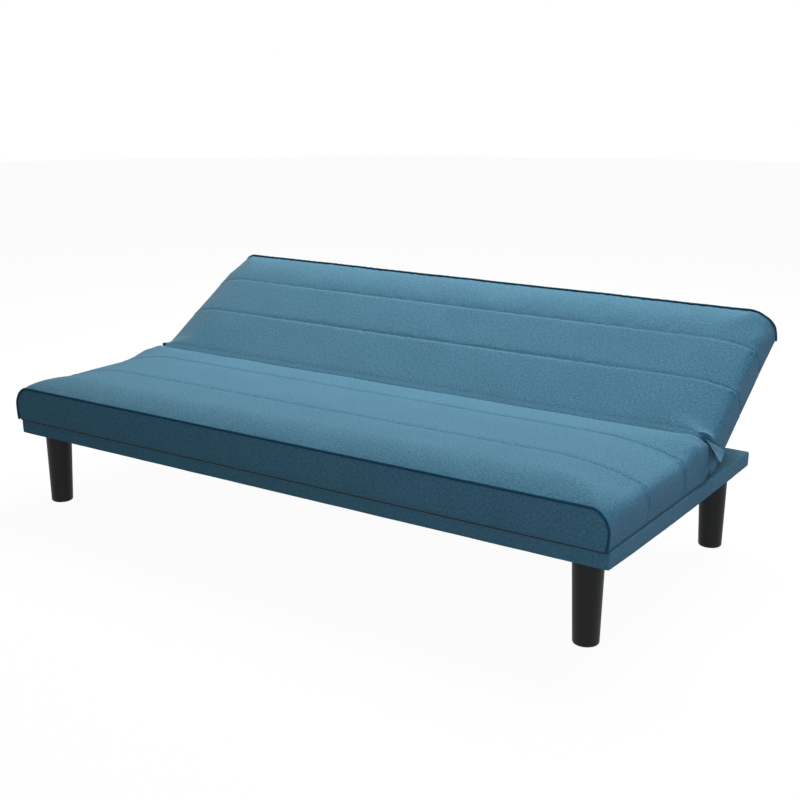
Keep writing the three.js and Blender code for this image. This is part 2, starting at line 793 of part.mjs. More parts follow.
// The base: five rails, a hardboard deck, a fabric cover and a dust cloth, standing on the legs
function base() {
  const group = new THREE.Group();
  const half = baseLength / 2;
  const railTop = baseTop - skin - deckThickness - fitGap;
  const railBottom = baseBottom + skin;
  const heights = [railBottom, railTop];
  const front = [skin, skin + baseRailThickness];
  const rear = [baseDepth - skin - baseRailThickness, baseDepth - skin];
  const between = [front[1] + fitGap, rear[0] - fitGap];
  const full = [skin - half, half - skin];
  const endRail = [baseRailInner, half - skin];
  const earSlot = boxAtBothEnds(
    [bracketPlane - hingePlate - fitGap, bracketPlane + fitGap],
    [seatDepthToPivot - bracketEyeRadius - 2 * fitGap, seatDepthToPivot + bracketEyeRadius + 2 * fitGap],
    [railTop - cutOverrun, baseTop + cutOverrun],
  );
  group.add(
    piece("base_rail_front", box(full, front, heights), pine),
    piece("base_rail_rear", box(full, rear, heights), pine),
    piece("base_rail_right", box(endRail, between, heights), pine),
    piece("base_rail_left", box([-endRail[1], -endRail[0]], between, heights), pine),
    piece("base_rail_centre", box(centreRail, between, heights), pine),
  );
  const deck = box(full, [skin, baseDepth - skin], [baseTop - skin - deckThickness, baseTop - skin]);
  group.add(piece("base_deck", cut(deck, earSlot), hardboard));

  const shell = box([-half, half], [0, baseDepth], [baseBottom, baseTop]);
  const hollow = box(
    [coverWall - half, half - coverWall],
    [coverWall, baseDepth - coverWall],
    [baseBottom + coverWall, baseTop - coverWall],
  );
  const opening = box(
    [flangeWidth - half, half - flangeWidth],
    [flangeWidth, baseDepth - flangeWidth],
    [baseBottom - cutOverrun, baseBottom + cutOverrun],
  );
  group.add(piece("base_cover", cut(shell, hollow, opening, earSlot), wovenCover));

  const cloth = box(
    [flangeWidth + fitGap - half, half - flangeWidth - fitGap],
    [flangeWidth + fitGap, baseDepth - flangeWidth - fitGap],
    [baseBottom, baseBottom + clothWall],
  );
  const studHole = (x, y) =>
    new THREE.CylinderGeometry(legStudRadius + fitGap, legStudRadius + fitGap, 4 * legStudLength, 16)
      .rotateX(Math.PI / 2)
      .translate(x, y, baseBottom);
  const places = legPlaces();
  const cutHoles = places.map(([, x, y]) => studHole(x, y));
  group.add(piece("base_dust_cloth", cut(cloth, ...cutHoles), dustCloth));
  for (const [name, x, y] of places) {
    const support = piece(`leg_${name}`, leg(), blackPlastic);
    support.position.set(x, y, 0);
    const outerX = Math.min(Math.abs(x) + legBlockSize / 2, baseRailInner - hingePlate - 2 * fitGap);
    const spanX = [Math.abs(x) - legBlockSize / 2, outerX].map((value) => Math.sign(x) * value);
    const nearFront = y < baseDepth / 2;
    const spanY = nearFront
      ? [between[0], between[0] + legBlockSize]
      : [between[1] - legBlockSize, between[1]];
    const block = box(spanX.sort((a, b) => a - b), spanY, heights);
    group.add(support, piece(`leg_block_${name}`, cut(block, studHole(x, y)), pine));
  }
  return group;
}

// The pieces of the hinge that stand still, at one end, round the hinge axis
function bracketPieces(end) {
  return [
    piece(`hinge_bracket_${end}`, plate(bracketOutline(), bracketPlane - hingePlate, hingePlate), zincSteel),
    piece(`pivot_bolt_${end}`, pivotBolt(), zincSteel),
    piece(`pivot_nut_${end}`, pivotNut(), zincSteel),
  ];
}

function seatHingePieces(end) {
  const arm = plate(armOutline(), 0, hingePlate).rotateZ(Math.PI).translate(seatArmPlane, 0, 0);
  const ratchet = plate(sectorOutline(), sectorPlane - hingePlate, hingePlate);
  return [piece(`seat_arm_${end}`, arm, blackSteel), piece(`ratchet_sector_${end}`, ratchet, zincSteel)];
}

function backHingePieces(end) {
  const room = springWireRadius + fitGap;
  const top = pawlPin.y - room;
  const length = top - springAnchor.y - springCoilRadius - room;
  const spring = piece(`pawl_spring_${end}`, pawlSpring(length), springSteel);
  spring.position.set(backArmPlane + springCoilRadius + room, springAnchor.x, top);
  return [
    piece(`back_arm_${end}`, backArm(), blackSteel),
    piece(`pawl_pin_${end}`, pawlRivet(), zincSteel),
    piece(`pawl_${end}`, plate(pawlOutline(), sectorPlane - hingePlate, hingePlate), blackSteel),
    spring,
  ];
}

// Both ends of the hinge: the left one mirrors the right one
function bothEnds(makePieces) {
  const right = new THREE.Group();
  right.add(...makePieces("right"));
  const left = new THREE.Group();
  left.add(...makePieces("left"));
  left.scale.x = -1;
  return [right, left];
}

// The seat, in a frame on the hinge axis: it lifts by its front edge
function seat() {
  const group = new THREE.Group();
  const frameEnds = [seatFront + skin + 2 * fitGap, frameSetback];
  const slots = seatHingeSlots();
  const endRailInner = seatArmPlane + fitGap;
  const halfWebbing = endRailInner + seatEndRailThickness;
  const straps = webbing([-halfWebbing, halfWebbing], frameEnds, frameTop + fitGap, slots);
  const clothHalf = cushionHalfLength - sideTuck - flangeWidth - fitGap;
  const cloth = box(
    [-clothHalf, clothHalf],
    [seatFront + flangeWidth + fitGap, seatTongue - flangeWidth - fitGap],
    [undersideHeight, undersideHeight + clothWall],
  );
  group.add(
    ...cushionFrame("seat", frameEnds, endRailInner, seatEndRailThickness),
    piece("seat_webbing", straps, beltWebbing),
    piece("seat_foam", cushionFoam(seatBody, [frameSetback + fitGap, notchRadius], slots), polyurethaneFoam),
    piece("seat_cover", cushionCover(seatBody, [seatFront, seatTongue], slots), wovenCover),
    piece("seat_piping", piping(seatCrownRise, seatSlopeAt, seatFront, -1), pipingCord),
    piece("seat_dust_cloth", cloth, dustCloth),
    ...bothEnds(seatHingePieces),
  );
  return group;
}

// The cloth that closes the gap between seat and back: an arc round the hinge axis, sewn to the back
function gapCloth() {
  const start = Math.acos((backStart - fitGap) / gapClothRadius);
  const end = Math.PI + ratchetStep;
  const inner = gapClothRadius - clothWall;
  const hem = backStart - fitGap - clothWall;
  const outline = new THREE.Shape();
  outline.absarc(0, 0, gapClothRadius, start, end, false);
  outline.absarc(0, 0, inner, end, Math.acos(hem / inner), true);
  outline.lineTo(hem, hemDepth);
  outline.lineTo(hem + clothWall, hemDepth);
  outline.closePath();
  const reach = backArmPlane - hingePlate - nutLength - 4 * fitGap - hingePocketClearance;
  return plate(outline, -reach, 2 * reach, 8);
}

// The back, in a frame on the hinge axis, lying along +Y with its face upwards
function back() {
  const group = new THREE.Group();
  const frameEnds = [-frameSetback, backEnd - skin - 2 * fitGap];
  const pockets = backHingePockets();
  const endRailInner = backArmPlane + fitGap;
  const halfWebbing = endRailInner + backEndRailThickness;
  const straps = webbing([-halfWebbing, halfWebbing], frameEnds, frameTop + fitGap, pockets);
  const clothHalf = cushionHalfLength - sideTuck - flangeWidth - fitGap;
  const cloth = box(
    [-clothHalf, clothHalf],
    [backStart + flangeWidth + fitGap, backEnd - flangeWidth - fitGap],
    [undersideHeight, undersideHeight + clothWall],
  );
  group.add(
    ...cushionFrame("back", frameEnds, endRailInner, backEndRailThickness),
    piece("back_webbing", straps, beltWebbing),
    piece("back_foam", cushionFoam(backBody, [backStart, -frameSetback - fitGap], pockets), polyurethaneFoam),
    piece("back_cover", cushionCover(backBody, [backStart, backEnd], pockets), wovenCover),
    piece("back_piping", piping(backCrownRise, backSlopeAt, backEnd, 1), pipingCord),
    piece("back_rear_cloth", cloth, dustCloth),
    piece("gap_cloth", gapCloth(), wovenCover),
    ...bothEnds(backHingePieces),
  );
  return group;
}

// The whole sofa bed in its lounge position, with its origin under the middle of it on the floor
const sofaBed = new THREE.Group();
const seatUnit = seat();
seatUnit.position.set(0, seatDepthToPivot, pivotHeight);
const backUnit = back();
backUnit.position.copy(seatUnit.position);
backUnit.rotation.x = ratchetStep;
const brackets = new THREE.Group();
brackets.position.copy(seatUnit.position);
brackets.add(...bothEnds(bracketPieces));
sofaBed.add(base(), brackets, seatUnit, backUnit);

const extent = new THREE.Box3().setFromObject(sofaBed, true);
sofaBed.position.y = -(extent.min.y + extent.max.y) / 2;

export default sofaBed;
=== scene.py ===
import json
import math

import bpy
import numpy as np
from bpy.props import FloatProperty, FloatVectorProperty, IntProperty, PointerProperty
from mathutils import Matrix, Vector


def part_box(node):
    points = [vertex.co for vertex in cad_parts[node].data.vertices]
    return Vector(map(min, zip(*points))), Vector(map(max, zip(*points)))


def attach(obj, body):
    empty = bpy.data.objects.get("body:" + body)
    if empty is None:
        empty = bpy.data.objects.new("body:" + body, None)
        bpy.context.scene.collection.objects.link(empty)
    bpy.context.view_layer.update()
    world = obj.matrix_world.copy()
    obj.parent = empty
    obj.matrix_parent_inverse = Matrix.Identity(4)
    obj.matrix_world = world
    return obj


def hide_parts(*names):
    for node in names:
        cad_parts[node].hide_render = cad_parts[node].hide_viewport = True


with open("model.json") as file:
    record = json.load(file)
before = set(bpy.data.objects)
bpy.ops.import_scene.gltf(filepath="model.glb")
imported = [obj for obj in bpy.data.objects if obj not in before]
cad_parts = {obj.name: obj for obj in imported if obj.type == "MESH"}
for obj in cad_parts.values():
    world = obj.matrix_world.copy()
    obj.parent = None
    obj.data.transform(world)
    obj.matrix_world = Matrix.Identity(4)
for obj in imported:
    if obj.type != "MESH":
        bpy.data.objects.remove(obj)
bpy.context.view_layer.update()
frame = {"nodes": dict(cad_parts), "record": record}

bl_info = {
    "name": "Click clack sofa bed",
    "version": (1, 0, 0),
    "blender": (4, 5, 0),
    "location": "View3D > Sidebar > Sofa bed",
    "description": "Dresses the frame of a click clack sofa bed in woven cloth, piping, legs and fittings",
    "category": "Object",
}

# The frame's own measures: the hinge axis, the ratchet's step and the boxes of its nodes
JOINTS = {joint["name"]: joint for joint in frame["record"]["behaviour"]["joints"]}
PIVOT = np.array(JOINTS["back_recline"]["pos_m"])
# At rest the back leans in its lounge position, as far from flat as its joint can turn down
LOUNGE = -math.radians(JOINTS["back_recline"]["range_deg"][0])
SEAT_LOW, SEAT_HIGH = (np.array(corner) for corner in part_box("seat_cover"))
BASE_LOW, BASE_HIGH = (np.array(corner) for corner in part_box("base_cover"))
LEG_LOW, LEG_HIGH = (np.array(corner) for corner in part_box("leg_front_right"))
MM = 0.001


# Sizes and colours that a user would change
class SofaBedSizes(bpy.types.PropertyGroup):
    half_length: FloatProperty(
        name="Half length", description="From the middle to the end of the cushions",
        default=float(SEAT_HIGH[0]), unit="LENGTH")
    seat_front: FloatProperty(
        name="Seat front", description="From the hinge axis forwards to the seat's front seam",
        default=0.529, unit="LENGTH")
    seat_rear: FloatProperty(
        name="Seat rear", description="From the hinge axis forwards to the seat's rear seam",
        default=0.0255, unit="LENGTH")
    back_start: FloatProperty(
        name="Back's lower end", description="From the hinge axis up to the back's lower seam",
        default=0.0125, unit="LENGTH")
    back_end: FloatProperty(
        name="Back's top", description="From the hinge axis up to the back's top seam",
        default=0.4407, unit="LENGTH")
    face_height: FloatProperty(
        name="Face height", description="From the hinge axis to a cushion's face",
        default=0.024, unit="LENGTH")
    underside: FloatProperty(
        name="Underside", description="From the hinge axis down to a cushion's underside",
        default=0.0837, unit="LENGTH")
    seat_crown: FloatProperty(
        name="Seat crown", description="How far the seat falls to its front seam",
        default=0.021, unit="LENGTH")
    back_crown: FloatProperty(
        name="Back crown", description="How far the back falls to its top seam",
        default=0.016, unit="LENGTH")
    crown_width: FloatProperty(
        name="Crown width", description="Over what length a cushion falls to its free seam",
        default=0.1, unit="LENGTH")
    dome: FloatProperty(
        name="Dome", description="How far the seat's face rises between its front and rear seams",
        default=0.0098, unit="LENGTH")
    channel_depth: FloatProperty(
        name="Channel depth", description="Depth of the sewn channels",
        default=0.0018, unit="LENGTH")
    piping_radius: FloatProperty(
        name="Piping radius", description="Radius of the corded piping",
        default=0.003, unit="LENGTH")
    stuffing: FloatProperty(
        name="Stuffing", description="Most that the cloth may swell between its seams",
        default=0.0012, unit="LENGTH")
    stitch_length: FloatProperty(
        name="Stitch length", description="Length of one lockstitch",
        default=0.0045, unit="LENGTH")
    cloth_rows: IntProperty(
        name="Cloth rows", description="Rows of cloth between two sewn channels",
        default=13, min=6)


class SofaBedColours(bpy.types.PropertyGroup):
    cloth_light: FloatVectorProperty(
        name="Cloth, light yarn", description="The paler yarn of the cover, in sRGB",
        subtype="COLOR_GAMMA", default=(0.37, 0.545, 0.627))
    cloth_dark: FloatVectorProperty(
        name="Cloth, dark yarn", description="The darker yarn of the cover, in sRGB",
        subtype="COLOR_GAMMA", default=(0.22, 0.405, 0.508))
    # The piping is of the cover's own cloth; its darker colour is painted shade, the cord's own shadow in its
    # seam
    piping: FloatVectorProperty(
        name="Piping", description="The corded piping, in sRGB",
        subtype="COLOR_GAMMA", default=(0.13, 0.28, 0.37))
    leg: FloatVectorProperty(
        name="Leg", description="The moulded legs, in sRGB",
        subtype="COLOR_GAMMA", default=(0.07, 0.073, 0.083))


def sizes():
    """The sizes in the sidebar."""
    return bpy.context.scene.sofa_bed_sizes


def colours():
    """The colours in the sidebar."""
    return bpy.context.scene.sofa_bed_colours


# Material helpers
def linear(colour):
    """An sRGB hex text or sRGB triple as a linear RGBA colour."""
    if isinstance(colour, str):
        digits = colour.lstrip("#")
        colour = [int(digits[i:i + 2], 16) / 255 for i in (0, 2, 4)]
    values = [c / 12.92 if c <= 0.04045 else ((c + 0.055) / 1.055) ** 2.4 for c in colour]
    return (*values, 1.0)


def add_node(tree, kind, settings=None, links=None):
    """Adds a node, sets its properties or input values by name, and links its inputs to given outputs."""
    node = tree.nodes.new(kind)
    for key, value in (settings or {}).items():
        if isinstance(key, str) and hasattr(node, key):
            setattr(node, key, value)
        else:
            node.inputs[key].default_value = value
    for key, output in (links or {}).items():
        tree.links.new(output, node.inputs[key])
    return node


def new_material(name, base, roughness, metallic=0.0, **sockets):
    """A node material whose shader has the values that are the same all over its surface."""
    material = bpy.data.materials.new(name)
    material.use_nodes = True
    material.diffuse_color = linear(base)
    tree = material.node_tree
    shader = tree.nodes["Principled BSDF"]
    shader.inputs["Base Color"].default_value = linear(base)
    shader.inputs["Roughness"].default_value = roughness
    shader.inputs["Metallic"].default_value = metallic
    for socket, value in sockets.items():
        shader.inputs[socket.replace("_", " ")].default_value = value
    return material, tree, shader


def set_ramp(node, stops):
    """Places a colour ramp's stops: pairs of position and linear colour."""
    elements = node.color_ramp.elements
    while len(elements) < len(stops):
        elements.new(0.5)
    for element, (place, colour) in zip(elements, stops):
        element.position = place
        element.color = colour


def woven_polyester(name, light, dark, thread=1.5 * MM, fleck=3.2 * MM, sheen=0.25):
    """Plain-woven polyester of two blended yarns: matt, with short darker flecks along the threads and a
    faint pale fuzz at grazing angles. The real threads lie 0.9 mm apart; they are drawn at 1.5 mm and the
    flecks at 3.2 mm, as coarse as they need to be to show."""
    found = bpy.data.materials.get(name)
    if found:
        return found
    material, tree, shader = new_material(
        name, light, 0.92, Sheen_Weight=sheen, Sheen_Roughness=0.3, Specular_IOR_Level=0.0)
    shader.inputs["Sheen Tint"].default_value = linear("#f2ece4")
    uv = add_node(tree, "ShaderNodeUVMap", {"uv_map": "cloth"})
    # Wave bands repeat every 0.314 of a unit at scale 1
    band = 0.3142 / thread
    # Two sets of threads and two of flecks, one of each for either direction of the cloth
    threads, flecks = [], []
    for direction, stretch in (("X", (0.45, 1.0, 1.0)), ("Y", (1.0, 0.45, 1.0))):
        bands = {"bands_direction": direction, "Scale": band, "Distortion": 0.6, "Detail Scale": 0.4}
        threads.append(add_node(tree, "ShaderNodeTexWave", bands, {"Vector": uv.outputs["UV"]}))
        mapped = add_node(tree, "ShaderNodeMapping", {"Scale": stretch}, {"Vector": uv.outputs["UV"]})
        flecks.append(add_node(tree, "ShaderNodeTexNoise", {"Scale": 1 / fleck, "Detail": 3.0, "Roughness": 0.62},
                               {"Vector": mapped.outputs["Vector"]}))
    blend, weave = (add_node(tree, "ShaderNodeMath", {"operation": "ADD"},
                             {0: first.outputs["Fac"], 1: second.outputs["Fac"]})
                    for first, second in (flecks, threads))
    tone = add_node(tree, "ShaderNodeMath", {"operation": "MULTIPLY_ADD", 1: 0.05},
                    {0: weave.outputs[0], 2: blend.outputs[0]})
    ramp = add_node(tree, "ShaderNodeValToRGB", {}, {"Fac": add_node(
        tree, "ShaderNodeMath", {"operation": "MULTIPLY", 1: 0.5}, {0: tone.outputs[0]}).outputs[0]})
    set_ramp(ramp, [(0.36, linear(dark)), (0.68, linear(light))])
    # Broad, faint unevenness of the dyed cloth, about 120 mm across
    cloudy = add_node(tree, "ShaderNodeTexNoise", {"Scale": 8.0, "Detail": 2.0}, {"Vector": uv.outputs["UV"]})
    shade = add_node(tree, "ShaderNodeMapRange", {"To Min": 0.93, "To Max": 1.07},
                     {"Value": cloudy.outputs["Fac"]})
    colour = add_node(tree, "ShaderNodeVectorMath", {"operation": "SCALE"},
                      {0: ramp.outputs["Color"], "Scale": shade.outputs["Result"]})
    tree.links.new(colour.outputs["Vector"], shader.inputs["Base Color"])
    height = add_node(tree, "ShaderNodeMath", {"operation": "MULTIPLY_ADD", 1: 0.6},
                      {0: blend.outputs[0], 2: weave.outputs[0]})
    bump = add_node(tree, "ShaderNodeBump", {"Strength": 0.5, "Distance": 0.35 * MM},
                    {"Height": height.outputs[0]})
    tree.links.new(bump.outputs["Normal"], shader.inputs["Normal"])
    return material


def grained(name, base, dark, roughness, scale, stretch=(1.0, 1.0, 1.0), depth=0.1 * MM, metallic=0.0,
            **sockets):
    """A material with one noise grain on Object coordinates, stretched along its fibres or brush marks, that
    moves its colour between two tones and gives it a fine relief."""
    found = bpy.data.materials.get(name)
    if found:
        return found
    material, tree, shader = new_material(name, base, roughness, metallic, **sockets)
    place = add_node(tree, "ShaderNodeTexCoord")
    mapped = add_node(tree, "ShaderNodeMapping", {"Scale": stretch}, {"Vector": place.outputs["Object"]})
    grain = add_node(tree, "ShaderNodeTexNoise", {"Scale": scale, "Detail": 4.0, "Roughness": 0.6},
                     {"Vector": mapped.outputs["Vector"]})
    ramp = add_node(tree, "ShaderNodeValToRGB", {}, {"Fac": grain.outputs["Fac"]})
    set_ramp(ramp, [(0.35, linear(dark)), (0.65, linear(base))])
    tree.links.new(ramp.outputs["Color"], shader.inputs["Base Color"])
    bump = add_node(tree, "ShaderNodeBump", {"Strength": 0.4, "Distance": depth},
                    {"Height": grain.outputs["Fac"]})
    tree.links.new(bump.outputs["Normal"], shader.inputs["Normal"])
    return material


def cover_cloth():
    return woven_polyester("woven polyester, heathered teal", colours().cloth_light, colours().cloth_dark)


def piping_cloth():
    # Self piping of the cover's cloth, given a darker colour: painted shade for the cord's own shadow in the seam
    return woven_polyester("corded polyester piping, painted shade", [1.25 * c for c in colours().piping], colours().piping,
                           sheen=0.15)


def liner_cloth():
    # Spun-bonded polypropylene: matt black, embossed with a fine uneven felt of fibres about 1 mm across
    return grained("spun-bonded polypropylene, black", "#232427", "#151618", 0.95, 1 / (1 * MM))


def moulded_black():
    # Moulded ABS with a spark-eroded grain of about 0.6 mm: near black, with a broad soft gloss
    return grained("moulded ABS, matt black", colours().leg, [0.8 * c for c in colours().leg], 0.5,
                   1 / (0.6 * MM), depth=0.04 * MM, Specular_IOR_Level=0.2)


def sawn_pine():
    # Sawn pine: pale, with 4 mm growth rings drawn out along the rail
    return grained("sawn pine", "#d9bb8b", "#b98f5c", 0.72, 1 / (4 * MM), (0.04, 0.5, 1.0), 0.3 * MM)


def pressed_hardboard():
    # Pressed hardboard: brown, with a felt of 2 mm fibres
    return grained("pressed hardboard", "#8c6644", "#6b4a2e", 0.75, 1 / (2 * MM))


def elastic_webbing():
    # Woven rubber-and-polyester belt: dark grey, ribbed every 2 mm along its length
    return grained("woven elastic webbing", "#454548", "#2a2a2c", 0.9, 1 / (2 * MM), (1.0, 0.2, 1.0),
                   0.2 * MM)


def zinc_plated():
    # Zinc-plated stamped steel: bright grey with 3 mm spangles
    return grained("zinc-plated steel", "#b4b8ba", "#979b9e", 0.38, 1 / (3 * MM), depth=0.02 * MM,
                   metallic=1.0)


def black_enamelled():
    # Black baked enamel on stamped steel: half gloss, with a 1 mm orange-peel
    return grained("black enamelled steel", "#1d1e20", "#141517", 0.4, 1 / MM, depth=0.03 * MM)


def spring_wire():
    # Drawn spring wire: grey, with fine draw marks along it
    return grained("drawn spring steel", "#8e9194", "#6f7275", 0.32, 1 / (0.4 * MM), depth=0.01 * MM,
                   metallic=1.0)


# Mesh helpers
def make_mesh(name, points, faces, material, uv=None, smooth=True):
    """An object from an array of points and a list of face index arrays, with one UV per face corner."""
    mesh = bpy.data.meshes.new(name)
    mesh.from_pydata(np.asarray(points).reshape(-1, 3).tolist(), [], [list(map(int, f)) for f in faces])
    if uv is not None:
        layer = mesh.uv_layers.new(name="cloth")
        layer.data.foreach_set("uv", np.asarray(uv, np.float32).ravel())
    mesh.polygons.foreach_set("use_smooth", np.full(len(mesh.polygons), smooth))
    mesh.materials.append(material)
    mesh.update()
    piece = bpy.data.objects.new(name, mesh)
    bpy.context.scene.collection.objects.link(piece)
    return piece


def grid_faces(rows, columns, wrap=False, flip=False):
    """Quads between neighbouring rows and columns of a grid, joined round if it wraps."""
    last = columns if wrap else columns - 1
    r, c = np.meshgrid(np.arange(rows - 1), np.arange(last), indexing="ij")
    n = (c + 1) % columns
    quads = np.stack([r * columns + c, r * columns + n, (r + 1) * columns + n, (r + 1) * columns + c], -1)
    quads = quads.reshape(-1, 4)
    return quads[:, ::-1] if flip else quads


def on_back(points):
    """Turns places in the back's own frame (across, up the back, out of its face) to the lounge position."""
    x, s, d = np.moveaxis(np.asarray(points, float), -1, 0)
    y = PIVOT[1] + s * math.cos(LOUNGE) - d * math.sin(LOUNGE)
    z = PIVOT[2] + s * math.sin(LOUNGE) + d * math.cos(LOUNGE)
    return np.stack([x, y, z], -1)


def on_seat(points):
    """Moves places in the seat's own frame (across, behind the hinge axis, above it) to the whole frame."""
    return np.asarray(points, float) + PIVOT


def on_body(body, points):
    """Moves places in the frame of the seat or the back to the whole frame, which is the base's own."""
    return {"seat": on_seat, "back": on_back, "base": np.asarray}[body](points)


def cushion_arc(count, top, bottom, half, fall, width, edge, tuck):
    """Sections of a cushion from its left foot over its face to its right foot, one row per station. The end
    rises from the foot, drawn in by tuck times (1 - a) squared, and turns through a quarter circle of the edge
    radius. From there the face rises softly to its level, and lies fall times (1 - distance / width) squared
    below it. The other half mirrors it."""
    t = np.linspace(0, 1, count)
    h = 1 - np.abs(2 * t - 1)
    # The shares of a half section's points that the end and the edge take up
    end_share, edge_share = 0.065, 0.045
    face_share = 1 - end_share - edge_share
    a = np.clip(h / end_share, 0, 1)[None]
    b = np.clip((h - end_share) / edge_share, 0, 1)[None]
    c = np.clip((h - end_share - edge_share) / face_share, 0, 1)[None]
    measures = (top, bottom, half, fall, width)
    top, bottom, half, fall, width = (
        np.broadcast_to(np.asarray(measure, float), np.shape(top))[:, None] for measure in measures)
    distance = edge * (1 - np.cos(b * math.pi / 2)) + (half - edge) * c ** 1.25
    x = half - tuck * (1 - a) ** 2 - distance
    corner = top - fall - edge
    slope = fall * (1 - np.clip(1 - distance / width, 0, 1) ** 2)
    z = bottom + a * (corner - bottom) + edge * np.sin(b * math.pi / 2) + slope
    return np.where(t < 0.5, -x, x), z


def closed_pad(stations, top, bottom, half, bulges, fall, width, columns=193, cap_rows=11, edge=0.012,
               tuck=0.005, foot_sag=None):
    """A closed pad: cushion sections carried along its depth, a flat underside, and a bowed panel over each
    open end. Column j of an end panel runs straight from point j of the upper arc to point j of the foot
    line, bowed out by bulge times (4 t (1 - t)) to the power 0.6, and less towards its ends. A foot sag lets
    the feet hang by that much, fading over 20 mm. Returns the points, faces and UVs, with the counts of points
    round a section and of columns over its face."""
    x, z = cushion_arc(columns, top, bottom, half, fall, width, edge, tuck)
    rows = len(stations)
    y = np.repeat(np.asarray(stations, float)[:, None], columns, 1)
    arc = np.stack([x, y, z], -1)
    share = np.linspace(0, 1, columns)[None, :, None]
    foot = arc[:, :1] * (1 - share) + arc[:, -1:] * share
    if foot_sag is not None:
        fade = 0.02
        ends = np.exp(-np.minimum(share, 1 - share)[..., 0] * (x[:, -1:] - x[:, :1]) / fade)
        arc[..., 2] -= foot_sag[:, None] * np.exp(-(z - z[:, :1]) / fade)
        foot[..., 2] -= foot_sag[:, None] * ends
        foot[:, 0], foot[:, -1] = arc[:, 0], arc[:, -1]
    ring = np.concatenate([arc, foot[:, -2:0:-1]], 1)
    around = ring.shape[1]
    points = [ring.reshape(-1, 3)]
    quads = grid_faces(rows, around, wrap=True)
    step = np.linalg.norm(np.diff(np.concatenate([ring, ring[:, :1]], 1), axis=1), axis=-1)
    u = np.concatenate([[0.0], np.cumsum(step[rows // 2])])
    v = np.concatenate([[0.0], np.cumsum(np.linalg.norm(np.diff(arc[:, columns // 2], axis=0), axis=-1))])
    r, k = quads[:, 0] // around, quads[:, 0] % around
    uv = [np.stack([np.stack([u[k], v[r]], -1), np.stack([u[k + 1], v[r]], -1),
                    np.stack([u[k + 1], v[r + 1]], -1), np.stack([u[k], v[r + 1]], -1)], 1).reshape(-1, 2)]
    faces = [quads]
    base = rows * around
    for station, bulge, flip in ((0, bulges[0], False), (rows - 1, bulges[1], True)):
        t = np.linspace(0, 1, cap_rows + 1)[:, None, None]
        panel = arc[station] * (1 - t) + foot[station] * t
        bow = np.clip(4 * t * (1 - t), 0, 1) ** 0.6 * (1 - np.abs(2 * share - 1) ** 10)
        panel[..., 1] += (bow * (bulge if flip else -bulge))[..., 0]
        index = np.zeros((cap_rows + 1, columns), int)
        start = station * around
        index[0] = start + np.arange(columns)
        index[-1] = start + np.concatenate([[0], 2 * columns - 2 - np.arange(1, columns - 1), [columns - 1]])
        index[:, 0], index[:, -1] = start, start + columns - 1
        index[1:-1, 1:-1] = base + np.arange((cap_rows - 1) * (columns - 2)).reshape(cap_rows - 1, -1)
        points.append(panel[1:-1, 1:-1].reshape(-1, 3))
        base += (cap_rows - 1) * (columns - 2)
        place = panel[..., [0, 2]]
        corners = [(slice(1, None), slice(None, -1)), (slice(1, None), slice(1, None)),
                   (slice(None, -1), slice(1, None)), (slice(None, -1), slice(None, -1))]
        cells = np.stack([index[i] for i in corners], -1).reshape(-1, 4)
        spots = np.stack([place[i] for i in corners], -2).reshape(-1, 4, 2)
        if flip:
            cells, spots = cells[:, ::-1], spots[:, ::-1]
        # Both end columns of the panel meet in one point, so the cells there are triangles
        same = cells == np.roll(cells, 1, axis=1)
        whole, thin = ~same.any(1), same.sum(1) == 1
        faces += [cells[whole], cells[thin][~same[thin]].reshape(-1, 3)]
        uv += [spots[whole].reshape(-1, 2), spots[thin][~same[thin]]]
    everything = [face for group in faces for face in group]
    return np.concatenate(points), everything, np.concatenate(uv), {"around": around, "columns": columns}


def smooth_step(values, low, high):
    """A ramp from 0 at low to 1 at high: 3 times the share squared, less twice its cube."""
    share = np.clip((values - low) / (high - low), 0, 1)
    return share * share * (3 - 2 * share)


def soft_waves(points, seed, height, lengths):
    """A gentle unevenness: a sum of sine waves with seeded directions and phases over the given lengths."""
    source = np.random.default_rng(seed)
    total = np.zeros(len(points))
    for length in lengths:
        for _ in range(3):
            way = source.normal(size=3)
            way /= np.linalg.norm(way)
            total += np.sin(points @ way * 2 * math.pi / length + source.uniform(0, 2 * math.pi))
    return height * total / (3 * len(lengths))


def gathers(across, away, seed, height=0.0008, length=0.021, reach=0.024):
    """Short gathers square to a seam: waves of uneven length across it that come and go along it and fade with
    the square of the distance away from it."""
    source = np.random.default_rng(seed)
    phases = source.uniform(0, 2 * math.pi, 6)
    tunes = source.uniform(0.7, 1.5, 3)
    wave = sum(np.sin(2 * math.pi * across / (length * tune) + phase) for tune, phase in zip(tunes, phases))
    swing = 0.55 + 0.45 * np.sin(across * 11 + phases[3]) * np.sin(across * 4.3 + phases[4])
    return height * wave / 3 * swing * np.exp(-((away / reach) ** 2))


def read_points(mesh, kind="co"):
    """The places of a mesh's points as an array, or another vector of theirs, such as their normals."""
    flat = np.empty(len(mesh.vertices) * 3, np.float32)
    mesh.vertices.foreach_get(kind, flat)
    return flat.reshape(-1, 3).astype(float)


def write_points(piece, points):
    """Moves a piece's points to the places in an array."""
    piece.data.vertices.foreach_set("co", np.asarray(points, np.float32).ravel())
    piece.data.update()


